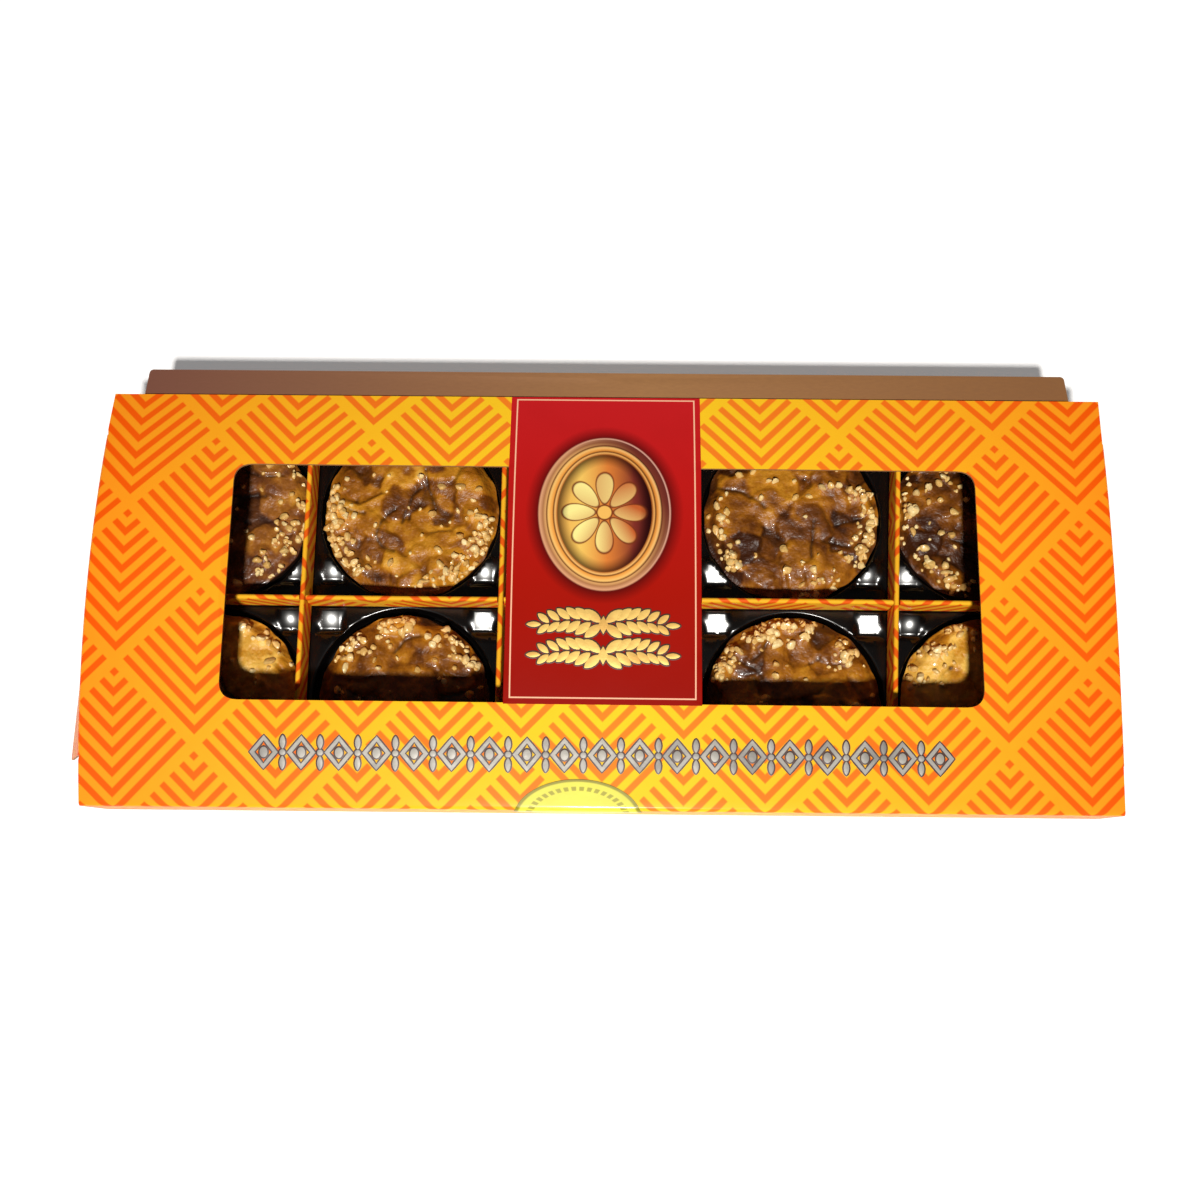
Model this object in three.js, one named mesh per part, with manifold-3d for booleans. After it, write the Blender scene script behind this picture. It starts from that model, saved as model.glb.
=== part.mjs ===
// A shut window carton of ten florentine biscuits, in millimetres with +Z up.
// A brown card tray holds a black formed insert with ten round wells, a grid of
// card dividers and one biscuit in each well. A printed lid, bowed upwards, lies
// on the tray; film closes its two windows and an oval sticker seals its front.
// The front edge faces -Y, and the origin is under the middle of the whole carton.

import * as THREE from 'three';
import { mergeVertices } from 'three/addons/utils/BufferGeometryUtils.js';
import Module from 'manifold-3d';

const wasm = await Module();
wasm.setup();

// ---------------------------------------------------------------- dimensions

// Clearances: between loose neighbours, and under a glued film or sticker.
const GAP = 0.3;
const SKIN_GAP = 0.1;
// Extra length that makes a cutting tool pass right through.
const OVERSHOOT = 5;

// Lid panel: it arches from its front edge to its back edge, more at its left side.
// The lean moves the highest point of the arch towards the back.
const BOARD = 0.8;
const LID_WIDTH = 340;
const LID_DEPTH = 141.4;
const LID_EDGE_HEIGHT = 30;
const LEFT_ARCH = { bow: 9.5, lean: 0 };
const RIGHT_ARCH = { bow: 4.1, lean: 0.4 };
const LID_ROWS = 20;
const LID_COLUMNS = 6;

// Lid flaps: the left one has sprung out, most at its front end.
const FRONT_FLAP_DROP = 25;
const SIDE_FLAP_FOOT_HEIGHT = 12;
const SIDE_FLAP_SETBACK = 16;
const LEFT_FLAP_SPREAD = { front: 11.3, back: 9 };
const RIGHT_FLAP_SPREAD = { front: 4.5, back: 4.5 };

// Windows, one each side of a printed bridge: square beside it, rounded outside.
const BRIDGE_WIDTH = 65;
const WINDOW_OUTER_X = 125;
const WINDOW_FRONT = -36.3;
const WINDOW_BACK = 44.1;
const WINDOW_RADIUS = 6;
const WINDOW_CURVE_STEPS = 6;
const FILM_THICKNESS = 0.2;
const FILM_MARGIN = 5;

// Tray, with a flap folded out along the top of its back wall.
const TRAY_WIDTH = 337.6;
const TRAY_DEPTH = LID_DEPTH - 2 * (BOARD + GAP);
const TRAY_HEIGHT = LID_EDGE_HEIGHT - BOARD - GAP;
const TRAY_BOARD = 1;
const BACK_FLAP_WIDTH = 321;
const BACK_FLAP_TAPER = 1;
const BACK_FLAP_REACH = 10;
const BACK_FLAP_DROOP = THREE.MathUtils.degToRad(5);
const BACK_FLAP_RADIUS = 1.5;

// Compartments: two rows of five, set out from a crossing left of and behind the middle.
const GRID_X = -1.5;
const GRID_Y = 1.5;
const COLUMNS = 5;
const COLUMN_PITCH = 68;
const ROW_PITCH = 67;

// Insert: a thin deck with a well in each compartment, standing on a skirt.
const FORMED_SHEET = 0.6;
const DECK_HEIGHT = 9;
const WELL_RADIUS = 32;
const WELL_DRAFT = 0.3;
const WELL_SEGMENTS = 32;

// Card dividers, slotted into each other and standing on the deck; the last of
// the cross dividers has slipped askew.
const DIVIDER_THICKNESS = 1.7;
const DIVIDER_TOP = 20.5;
const LAST_DIVIDER_SKEW = THREE.MathUtils.degToRad(-2.8);

// Biscuits: uneven discs with a rounded foot and a lumpy top. Radii run from the
// front left well, row by row; the fourth is pushed aside by the skewed divider.
const BISCUIT_RADII = [30.2, 29.6, 30.7, 30.6, 30.5, 30.1, 31.1, 30.6, 31.2, 30.5];
const BISCUIT_THICKNESS = 10;
const BISCUIT_SEGMENTS = 26;
const BISCUIT_NUDGE = 0.5;
// The outline's two waves, how many of each go round, and the size of the top's lumps.
const OUTLINE_WAVE = 0.35;
const WAVE_COUNTS = [3, 7];
const TOP_LUMP = 0.55;
const LUMP_LENGTHS = { x: 4.1, y: 3.7 };
// Each biscuit's waves and lumps are shifted by this angle from the last one's.
const BISCUIT_SHIFT = 2.4;

// Sticker: an oval folded over the front edge, left of the middle.
const STICKER_X = -7.8;
const STICKER_HALF_WIDTH = 21;
const STICKER_HALF_HEIGHT = 13;
const STICKER_DROP = 3;
const STICKER_THICKNESS = 0.25;
const STICKER_CURVE_STEPS = 16;

// ------------------------------------------------------------------- solids

function toSolid(geometry) {
  const bare = geometry.index ? geometry.toNonIndexed() : geometry.clone();
  bare.deleteAttribute('normal');
  bare.deleteAttribute('uv');
  const merged = mergeVertices(bare, 1e-4);
  return new wasm.Manifold(new wasm.Mesh({
    numProp: 3,
    vertProperties: new Float32Array(merged.attributes.position.array),
    triVerts: new Uint32Array(merged.index.array),
  }));
}

function toGeometry(solid) {
  const mesh = solid.getMesh();
  const geometry = new THREE.BufferGeometry();
  geometry.setAttribute('position', new THREE.BufferAttribute(mesh.vertProperties, 3));
  geometry.setIndex(new THREE.BufferAttribute(mesh.triVerts, 1));
  geometry.computeVertexNormals();
  return geometry;
}

// A box between two corners.
function block(low, high) {
  const size = high.map((value, axis) => value - low[axis]);
  const middle = high.map((value, axis) => (value + low[axis]) / 2);
  return toSolid(new THREE.BoxGeometry(...size).translate(...middle));
}

// A flat outline in X and Y raised from one height to another.
function raise(shape, bottom, top, curveSegments = 1) {
  const options = { depth: top - bottom, bevelEnabled: false, curveSegments };
  return toSolid(new THREE.ExtrudeGeometry(shape, options).translate(0, 0, bottom));
}

// A closed sheet between two faces, each given as a point for a column and a row.
function sheet(columns, rows, lowerAt, upperAt) {
  const positions = [];
  const indices = [];
  [lowerAt, upperAt].forEach((pointAt) => {
    rows.forEach((row) => columns.forEach((column) => positions.push(...pointAt(column, row))));
  });
  const layer = columns.length * rows.length;
  const quad = (a, b, c, d) => indices.push(a, b, c, a, c, d);
  const at = (column, row) => row * columns.length + column;
  const lastColumn = columns.length - 1;
  const lastRow = rows.length - 1;
  for (let row = 0; row < lastRow; row += 1) {
    for (let column = 0; column < lastColumn; column += 1) {
      const corners = [at(column, row), at(column + 1, row), at(column + 1, row + 1), at(column, row + 1)];
      const [a, b, c, d] = corners;
      quad(a + layer, b + layer, c + layer, d + layer);
      indices.push(a, c, b, a, d, c);
    }
  }
  for (let column = 0; column < lastColumn; column += 1) {
    const [a, b] = [at(column, 0), at(column + 1, 0)];
    const [c, d] = [at(column + 1, lastRow), at(column, lastRow)];
    quad(a, b, b + layer, a + layer);
    quad(c, d, d + layer, c + layer);
  }
  for (let row = 0; row < lastRow; row += 1) {
    const [a, b] = [at(lastColumn, row), at(lastColumn, row + 1)];
    const [c, d] = [at(0, row + 1), at(0, row)];
    quad(a, b, b + layer, a + layer);
    quad(c, d, d + layer, c + layer);
  }
  const geometry = new THREE.BufferGeometry();
  geometry.setAttribute('position', new THREE.Float32BufferAttribute(positions, 3));
  geometry.setIndex(indices);
  return toSolid(geometry);
}

// Evenly spaced values from one end to the other, both included.
function spread(from, to, steps) {
  return Array.from({ length: steps + 1 }, (_, step) => from + ((to - from) * step) / steps);
}

// --------------------------------------------------------------------- lid

// Height of the lid's upper face: the arches of its two sides, blended across.
function lidHeight(x, y) {
  const t = y / (LID_DEPTH / 2);
  const rise = ({ bow, lean }) => bow * (1 - t * t) * (1 + lean * t);
  const across = x / LID_WIDTH + 0.5;
  return LID_EDGE_HEIGHT + THREE.MathUtils.lerp(rise(LEFT_ARCH), rise(RIGHT_ARCH), across);
}

const lidRows = spread(-LID_DEPTH / 2, LID_DEPTH / 2, LID_ROWS);
const lidColumns = spread(-LID_WIDTH / 2, LID_WIDTH / 2, LID_COLUMNS);

// A sheet that follows the arched lid, between two offsets from its upper face.
function archedSheet(lower, upper, rows = lidRows) {
  const face = (offset) => (x, y) => [x, y, lidHeight(x, y) + offset];
  return sheet(lidColumns, rows, face(lower), face(upper));
}

// Outline of one window, widened all round by a margin; side is -1 or 1.
function windowShape(side, margin) {
  const inner = BRIDGE_WIDTH / 2 - margin;
  const outer = WINDOW_OUTER_X + margin;
  const front = WINDOW_FRONT - margin;
  const back = WINDOW_BACK + margin;
  const corner = outer - WINDOW_RADIUS;
  const shape = new THREE.Shape();
  shape.moveTo(side * inner, front);
  shape.lineTo(side * corner, front);
  shape.quadraticCurveTo(side * outer, front, side * outer, front + WINDOW_RADIUS);
  shape.lineTo(side * outer, back - WINDOW_RADIUS);
  shape.quadraticCurveTo(side * outer, back, side * corner, back);
  shape.lineTo(side * inner, back);
  return shape;
}

function windowCutter(side, margin) {
  return raise(windowShape(side, margin), 0, 2 * LID_EDGE_HEIGHT, WINDOW_CURVE_STEPS);
}

// A side flap hangs from the arched edge down to a straight foot.
function sideFlap(side, { front, back }) {
  const end = LID_DEPTH / 2 - SIDE_FLAP_SETBACK;
  const embed = BOARD / 4;
  const hinge = LID_WIDTH / 2 - embed;
  const face = (inset) => (fall, y) => {
    const reach = THREE.MathUtils.mapLinear(y, -end, end, front, back);
    const top = lidHeight(side * hinge, y) - embed;
    const out = THREE.MathUtils.lerp(hinge, LID_WIDTH / 2 + reach, fall) - inset;
    return [side * out, y, THREE.MathUtils.lerp(top, SIDE_FLAP_FOOT_HEIGHT, fall)];
  };
  const falls = side > 0 ? [1, 0] : [0, 1];
  return sheet(falls, spread(-end, end, LID_ROWS), face(0), face(BOARD));
}

function lid() {
  const edge = LID_WIDTH / 2;
  const front = -LID_DEPTH / 2;
  const foot = LID_EDGE_HEIGHT - FRONT_FLAP_DROP;
  const frontFlap = block([-edge, front, foot], [edge, front + BOARD, LID_EDGE_HEIGHT - BOARD / 4]);
  const solid = archedSheet(-BOARD, 0)
    .add(frontFlap)
    .add(sideFlap(-1, LEFT_FLAP_SPREAD))
    .add(sideFlap(1, RIGHT_FLAP_SPREAD))
    .subtract(windowCutter(-1, 0))
    .subtract(windowCutter(1, 0));
  return toGeometry(solid);
}

// Film is glued under the lid, a margin wider than its window.
function windowFilm(side) {
  const upper = -BOARD - SKIN_GAP;
  const film = archedSheet(upper - FILM_THICKNESS, upper);
  return toGeometry(film.intersect(windowCutter(side, FILM_MARGIN)));
}

// An ellipse about the sticker's middle, its second half-axis across the fold.
function stickerOval(middle) {
  const shape = new THREE.Shape();
  shape.absellipse(STICKER_X, middle, STICKER_HALF_WIDTH, STICKER_HALF_HEIGHT, 0, 2 * Math.PI);
  return shape;
}

function sealSticker() {
  const left = STICKER_X - STICKER_HALF_WIDTH;
  const right = STICKER_X + STICKER_HALF_WIDTH;
  const fold = -LID_DEPTH / 2;
  const inner = fold - SKIN_GAP;
  const outer = inner - STICKER_THICKNESS;
  const topOval = stickerOval(fold - STICKER_DROP);
  const frontOval = stickerOval(LID_EDGE_HEIGHT - STICKER_DROP);
  const onTop = archedSheet(SKIN_GAP, SKIN_GAP + STICKER_THICKNESS, [outer, ...lidRows])
    .intersect(raise(topOval, 0, 2 * LID_EDGE_HEIGHT, STICKER_CURVE_STEPS));
  const standing = raise(frontOval, -OVERSHOOT, OVERSHOOT, STICKER_CURVE_STEPS)
    .rotate([90, 0, 0])
    .translate([0, fold, 0]);
  const onFront = block([left, outer, 0], [right, inner, LID_EDGE_HEIGHT + SKIN_GAP]);
  return toGeometry(onTop.add(onFront.intersect(standing)));
}

// -------------------------------------------------------------------- tray

function backFlap() {
  const hinge = TRAY_DEPTH / 2 - TRAY_BOARD;
  const reach = LID_DEPTH / 2 + BACK_FLAP_REACH - hinge;
  const nearHalf = BACK_FLAP_WIDTH / 2;
  const farHalf = nearHalf - BACK_FLAP_TAPER;
  const shape = new THREE.Shape();
  shape.moveTo(-nearHalf, 0);
  shape.lineTo(nearHalf, 0);
  shape.lineTo(farHalf, reach - BACK_FLAP_RADIUS);
  shape.quadraticCurveTo(farHalf, reach, farHalf - BACK_FLAP_RADIUS, reach);
  shape.lineTo(-farHalf + BACK_FLAP_RADIUS, reach);
  shape.quadraticCurveTo(-farHalf, reach, -farHalf, reach - BACK_FLAP_RADIUS);
  return raise(shape, -TRAY_BOARD, 0, WINDOW_CURVE_STEPS)
    .rotate([-THREE.MathUtils.radToDeg(BACK_FLAP_DROOP), 0, 0])
    .translate([0, hinge, TRAY_HEIGHT]);
}

function tray() {
  const outer = [TRAY_WIDTH / 2, TRAY_DEPTH / 2];
  const inner = outer.map((half) => half - TRAY_BOARD);
  const shell = block([-outer[0], -outer[1], 0], [...outer, TRAY_HEIGHT]);
  const hollow = block([-inner[0], -inner[1], TRAY_BOARD], [...inner, TRAY_HEIGHT + OVERSHOOT]);
  return toGeometry(shell.add(backFlap()).subtract(hollow));
}

// ------------------------------------------------------------------ insert

const insideX = TRAY_WIDTH / 2 - TRAY_BOARD - GAP;
const insideY = TRAY_DEPTH / 2 - TRAY_BOARD - GAP;
const insertFoot = TRAY_BOARD + GAP;
const wellFloor = insertFoot + FORMED_SHEET;
const crossings = Array.from(
  { length: COLUMNS - 1 },
  (_, index) => GRID_X + (index + 1 - COLUMNS / 2) * COLUMN_PITCH,
);

// Wells from the front left, row by row, each in the middle of its compartment.
function wellPlaces() {
  const walls = [-insideX, ...crossings, insideX];
  const rows = [GRID_Y - ROW_PITCH / 2, GRID_Y + ROW_PITCH / 2];
  return rows.flatMap((y) => walls.slice(1).map((right, column) => {
    const left = walls[column];
    const radius = Math.min(WELL_RADIUS, (right - left) / 2 - FORMED_SHEET);
    return { x: (left + right) / 2, y, radius };
  }));
}

// A drafted plug: the well itself, or the outside of its wall.
function wellPlug({ x, y, radius }, bottom, top, thickness) {
  const profile = [
    new THREE.Vector2(0, bottom),
    new THREE.Vector2(radius - WELL_DRAFT + thickness, bottom),
    new THREE.Vector2(radius + thickness, top),
    new THREE.Vector2(0, top),
  ];
  const plug = new THREE.LatheGeometry(profile, WELL_SEGMENTS).rotateX(Math.PI / 2);
  return toSolid(plug.translate(x, y, 0));
}

function insertTray() {
  const underside = DECK_HEIGHT - FORMED_SHEET;
  const inner = [insideX - FORMED_SHEET, insideY - FORMED_SHEET];
  let solid = block([-insideX, -insideY, insertFoot], [insideX, insideY, DECK_HEIGHT])
    .subtract(block([-inner[0], -inner[1], 0], [...inner, underside]));
  wellPlaces().forEach((well) => {
    solid = solid.add(wellPlug(well, insertFoot, DECK_HEIGHT - FORMED_SHEET / 2, FORMED_SHEET));
  });
  wellPlaces().forEach((well) => {
    solid = solid.subtract(wellPlug(well, wellFloor, DECK_HEIGHT + OVERSHOOT, 0));
  });
  return toGeometry(solid);
}

// ---------------------------------------------------------------- dividers

const dividerFoot = DECK_HEIGHT + GAP;
const dividerWaist = (dividerFoot + DIVIDER_TOP) / 2;
const slotHalf = DIVIDER_THICKNESS / 2 + GAP;

// The long divider is slotted from above at each cross divider.
function longDivider() {
  const board = block(
    [-insideX, GRID_Y - DIVIDER_THICKNESS / 2, dividerFoot],
    [insideX, GRID_Y + DIVIDER_THICKNESS / 2, DIVIDER_TOP],
  );
  const slots = crossings.map((x) => block(
    [x - slotHalf, GRID_Y - OVERSHOOT, dividerWaist],
    [x + slotHalf, GRID_Y + OVERSHOOT, DIVIDER_TOP + OVERSHOOT],
  ));
  return toGeometry(slots.reduce((solid, slot) => solid.subtract(slot), board));
}

// A cross divider, about its crossing, is slotted from below over the long one.
function crossDivider() {
  const board = block(
    [-DIVIDER_THICKNESS / 2, -insideY - GRID_Y, dividerFoot],
    [DIVIDER_THICKNESS / 2, insideY - GRID_Y - GAP, DIVIDER_TOP],
  );
  const slot = block(
    [-OVERSHOOT, -slotHalf, dividerFoot - OVERSHOOT],
    [OVERSHOOT, slotHalf, dividerWaist + GAP],
  );
  return toGeometry(board.subtract(slot));
}

// ---------------------------------------------------------------- biscuits

// Side and top of a biscuit, from the foot inwards: radius and height as
// fractions of the whole, and how much of the lumps each ring carries.
const BISCUIT_RINGS = [
  { out: 0.95, up: 0, lumps: 0 },
  { out: 1, up: 0.3, lumps: 0 },
  { out: 0.99, up: 0.62, lumps: 0.2 },
  { out: 0.93, up: 0.88, lumps: 0.7 },
  { out: 0.78, up: 0.95, lumps: 1 },
  { out: 0.55, up: 0.97, lumps: 1 },
  { out: 0.28, up: 0.95, lumps: 1 },
];

function biscuit(index) {
  const turn = index * BISCUIT_SHIFT;
  const radius = BISCUIT_RADII[index];
  const ringCount = BISCUIT_RINGS.length;
  const positions = [];
  const indices = [];
  const [fewWaves, manyWaves] = WAVE_COUNTS;
  const lump = (x, y) => (
    TOP_LUMP * Math.sin(x / LUMP_LENGTHS.x + turn) * Math.cos(y / LUMP_LENGTHS.y - turn)
  );
  BISCUIT_RINGS.forEach(({ out, up, lumps }) => {
    for (let segment = 0; segment < BISCUIT_SEGMENTS; segment += 1) {
      const angle = (2 * Math.PI * segment) / BISCUIT_SEGMENTS;
      const waves = Math.sin(fewWaves * angle + turn) + Math.sin(manyWaves * angle - turn);
      const wave = (OUTLINE_WAVE * waves) / 2;
      const reach = (radius + wave) * out;
      const x = reach * Math.cos(angle);
      const y = reach * Math.sin(angle);
      positions.push(x, y, BISCUIT_THICKNESS * up + lumps * lump(x, y));
    }
  });
  for (let ring = 0; ring < ringCount - 1; ring += 1) {
    for (let segment = 0; segment < BISCUIT_SEGMENTS; segment += 1) {
      const next = (segment + 1) % BISCUIT_SEGMENTS;
      const a = ring * BISCUIT_SEGMENTS + segment;
      const b = ring * BISCUIT_SEGMENTS + next;
      const c = b + BISCUIT_SEGMENTS;
      const d = a + BISCUIT_SEGMENTS;
      indices.push(a, b, c, a, c, d);
    }
  }
  const lastRing = (ringCount - 1) * BISCUIT_SEGMENTS;
  const footMiddle = ringCount * BISCUIT_SEGMENTS;
  const topMiddle = footMiddle + 1;
  positions.push(0, 0, 0);
  positions.push(0, 0, BISCUIT_THICKNESS * BISCUIT_RINGS[ringCount - 1].up + lump(0, 0));
  for (let segment = 0; segment < BISCUIT_SEGMENTS; segment += 1) {
    const next = (segment + 1) % BISCUIT_SEGMENTS;
    indices.push(footMiddle, next, segment);
    indices.push(topMiddle, lastRing + segment, lastRing + next);
  }
  const geometry = new THREE.BufferGeometry();
  geometry.setAttribute('position', new THREE.Float32BufferAttribute(positions, 3));
  geometry.setIndex(indices);
  geometry.computeVertexNormals();
  return geometry;
}

// ---------------------------------------------------------------- materials

const finish = (color, roughness, extra = {}) => () => new THREE.MeshStandardMaterial({
  color,
  roughness,
  metalness: 0,
  ...extra,
});

const printedCard = finish(0xf9a01b, 0.35);
const brownCard = finish(0x8f5f42, 0.45);
const orangeCard = finish(0xe8892b, 0.5);
const clearFilm = finish(0xffffff, 0.05, { transparent: true, opacity: 0.2 });
const blackSheet = finish(0x121110, 0.2);
const limePaper = finish(0xf0ef62, 0.4);
const caramel = finish(0x9a6420, 0.3);

// ----------------------------------------------------------------- assembly

const carton = new THREE.Group();

function place(name, geometry, material, x = 0, y = 0, z = 0) {
  const mesh = new THREE.Mesh(geometry, material());
  mesh.name = name;
  mesh.position.set(x, y, z);
  carton.add(mesh);
  return mesh;
}

place('carton_tray', tray(), brownCard);
place('carton_lid', lid(), printedCard);
place('window_film_left', windowFilm(-1), clearFilm);
place('window_film_right', windowFilm(1), clearFilm);
place('seal_sticker', sealSticker(), limePaper);
place('insert_tray', insertTray(), blackSheet);

place('divider_long', longDivider(), orangeCard);
crossings.forEach((x, index) => {
  const divider = place(`divider_cross_${index + 1}`, crossDivider(), orangeCard, x, GRID_Y);
  const isLast = index === crossings.length - 1;
  divider.rotation.z = isLast ? LAST_DIVIDER_SKEW : 0;
});

wellPlaces().forEach(({ x, y }, index) => {
  const name = `florentine_${String(index + 1).padStart(2, '0')}`;
  const pushed = index === crossings.length - 1 ? -BISCUIT_NUDGE : 0;
  place(name, biscuit(index), caramel, x + pushed, y, wellFloor + GAP);
});

// The uneven flaps put the carton's middle off the lid's, so the whole is moved
// until the origin lies under the middle of its box.
const extent = new THREE.Box3().setFromObject(carton);
carton.position.set(-(extent.min.x + extent.max.x) / 2, -(extent.min.y + extent.max.y) / 2, -extent.min.z);

export default carton;
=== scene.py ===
import itertools
import math

import bmesh
import bpy
import numpy as np
from mathutils import Matrix, Vector, geometry


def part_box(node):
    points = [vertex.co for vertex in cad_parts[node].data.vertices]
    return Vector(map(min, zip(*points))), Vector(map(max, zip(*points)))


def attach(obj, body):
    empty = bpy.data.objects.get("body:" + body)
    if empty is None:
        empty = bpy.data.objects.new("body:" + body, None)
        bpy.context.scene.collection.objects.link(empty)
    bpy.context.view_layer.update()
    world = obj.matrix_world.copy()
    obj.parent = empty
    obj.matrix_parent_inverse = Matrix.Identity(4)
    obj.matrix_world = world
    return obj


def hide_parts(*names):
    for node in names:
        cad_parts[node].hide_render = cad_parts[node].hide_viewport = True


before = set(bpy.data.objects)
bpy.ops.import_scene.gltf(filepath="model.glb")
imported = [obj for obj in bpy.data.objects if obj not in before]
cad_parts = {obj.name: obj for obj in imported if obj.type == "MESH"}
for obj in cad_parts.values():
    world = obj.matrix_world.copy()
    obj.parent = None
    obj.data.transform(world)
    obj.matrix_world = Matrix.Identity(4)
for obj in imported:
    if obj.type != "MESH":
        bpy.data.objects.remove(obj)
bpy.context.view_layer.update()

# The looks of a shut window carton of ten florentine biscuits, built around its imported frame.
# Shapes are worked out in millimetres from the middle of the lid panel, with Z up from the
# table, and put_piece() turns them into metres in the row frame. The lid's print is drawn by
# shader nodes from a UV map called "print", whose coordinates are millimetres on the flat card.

MM = 0.001

# -------------------- places from the frame

LID_LOW, LID_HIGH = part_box("carton_lid")
FILMS_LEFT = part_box("window_film_left")[0].x
FILMS_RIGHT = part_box("window_film_right")[1].x
MIDDLE = Vector(((FILMS_LEFT + FILMS_RIGHT) / 2, (LID_LOW.y + LID_HIGH.y) / 2, 0))


def node_box(node):
    """Lowest and highest corner of a CAD node, in millimetres from the lid's middle."""
    low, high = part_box(node)
    return (low - MIDDLE) / MM, (high - MIDDLE) / MM


FILM_LOW, FILM_HIGH = node_box("window_film_right")
TRAY_LOW, TRAY_HIGH = node_box("carton_tray")
INSERT_LOW, INSERT_HIGH = node_box("insert_tray")
LONG_LOW, LONG_HIGH = node_box("divider_long")
STICKER_LOW, STICKER_HIGH = node_box("seal_sticker")

# -------------------- dimensions, mm

BOARD = 0.8
LID_HALF_WIDTH = 170.0
LID_HALF_DEPTH = (LID_HIGH.y - LID_LOW.y) / MM / 2
LID_EDGE_HEIGHT = 30.0
LEFT_ARCH = {"bow": LID_HIGH.z / MM - LID_EDGE_HEIGHT, "lean": 0.0}
RIGHT_ARCH = {"bow": 4.1, "lean": 0.4}
FOLD_REACH = 1.3
FRONT_FLAP_DROP = 25.0
SIDE_FLAP_HALF = 54.7
SIDE_FLAP_SPAN = 20.0
SIDE_FLAP_FOOT = 12.0
LEFT_SPREAD = (11.3, 9.0)
RIGHT_SPREAD = (4.5, 4.5)

FILM_MARGIN = 5.0
FILM_DROP = 0.95
FILM_THICKNESS = 0.15
WINDOW_OUTER = FILM_HIGH.x - FILM_MARGIN
WINDOW_INNER = FILM_LOW.x + FILM_MARGIN
WINDOW_FRONT = FILM_LOW.y + FILM_MARGIN
WINDOW_BACK = FILM_HIGH.y - FILM_MARGIN
WINDOW_RADIUS = 6.0
PANEL_FRONT = WINDOW_FRONT - 0.4

DIVIDER_HALF = (LONG_HIGH.y - LONG_LOW.y) / 2
GRID_Y = (LONG_HIGH.y + LONG_LOW.y) / 2
DIVIDER_DIP, DIP_LENGTH = 0.12, 23.0
DIVIDER_SWAY, SWAY_LENGTH = 0.15, 41.0
SLOT_CLEARANCE = 0.3
LAST_DIVIDER_SKEW = math.radians(-2.8)
WELL_RADIUS = 32.0
WELL_FLOOR = INSERT_LOW.z + 0.6
TRAY_BOARD = 1.0
TRAY_FLAP_HALF = 160.5
TRAY_FLAP_DROOP = math.tan(math.radians(5))

STICKER_X = (STICKER_HIGH.x + STICKER_LOW.x) / 2
STICKER_Y = -LID_HALF_DEPTH - 3.0
STICKER_HALF_WIDTH = (STICKER_HIGH.x - STICKER_LOW.x) / 2
STICKER_HALF_HEIGHT = STICKER_HIGH.y - STICKER_Y
STICKER_LIFTS = (0.3, 0.08)

# Camera: direction and distance from the foot of the lid's middle, in degrees and metres.
CAMERA_AZIMUTH = 1.565
CAMERA_ELEVATION = 78.73
CAMERA_ROLL = -1.01
CAMERA_DISTANCE = 0.4547
CAMERA_LENS = 38.07
CAMERA_SHIFT = (-0.0034, 0.0126)

# -------------------- sums as shader nodes


def feed(tree, socket, source):
    """Sets a socket from a number, a colour, another socket or a Field."""
    if isinstance(source, Field):
        source = source.value
    if isinstance(source, bpy.types.NodeSocket):
        tree.links.new(source, socket)
    else:
        socket.default_value = source


class Field:
    """A number over a surface. Sums on it add math nodes to its material."""

    def __init__(self, tree, value):
        self.tree = tree
        self.value = value

    def math(self, operation, *others, clamp=False):
        node = self.tree.nodes.new("ShaderNodeMath")
        node.operation = operation
        node.use_clamp = clamp
        for place, source in enumerate((self, *others)):
            feed(self.tree, node.inputs[place], source)
        return Field(self.tree, node.outputs[0])

    def __add__(self, other):
        return self.math("ADD", other)

    def __sub__(self, other):
        return self.math("SUBTRACT", other)

    def __mul__(self, other):
        return self.math("MULTIPLY", other)

    def __truediv__(self, other):
        return self.math("DIVIDE", other)

    def __abs__(self):
        return self.math("ABSOLUTE")

    def clamped(self):
        return self.math("ADD", 0.0, clamp=True)

    def fraction(self):
        return self.math("FRACT")

    def least(self, other):
        return self.math("MINIMUM", other)

    def most(self, other):
        return self.math("MAXIMUM", other)

    def inverse(self):
        return Field(self.tree, 1.0).math("SUBTRACT", self)

    def above(self, edge, soft):
        """0 under the edge and 1 over it, with a step as wide as soft."""
        return ((self - edge) / soft).math("ADD", 0.5, clamp=True)

    def below(self, edge, soft):
        return self.above(edge, soft).inverse()

    def between(self, low, high, soft):
        return self.above(low, soft) * self.below(high, soft)


def length_of(x, y):
    return (x * x + y * y).math("SQRT")


def paint(red, green, blue):
    """A display colour from 0 to 255 as the linear colour that shaders take."""
    shares = [channel / 255 for channel in (red, green, blue)]
    linear = [s / 12.92 if s <= 0.04045 else ((s + 0.055) / 1.055) ** 2.4 for s in shares]
    return (*linear, 1.0)


def mix(tree, share, under, over):
    """The colour under, with the colour over laid on it by share."""
    node = tree.nodes.new("ShaderNodeMix")
    node.data_type = "RGBA"
    feed(tree, node.inputs[0], share)
    feed(tree, node.inputs[6], under)
    feed(tree, node.inputs[7], over)
    return node.outputs[2]


def ramp(tree, share, *stops):
    """A run of colours. Each stop is its place and its display colour."""
    node = tree.nodes.new("ShaderNodeValToRGB")
    elements = node.color_ramp.elements
    while len(elements) < len(stops):
        elements.new(0.5)
    for element, (place, *colour) in zip(elements, stops):
        element.position = place
        element.color = paint(*colour)
    feed(tree, node.inputs[0], share)
    return node.outputs["Color"]


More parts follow.
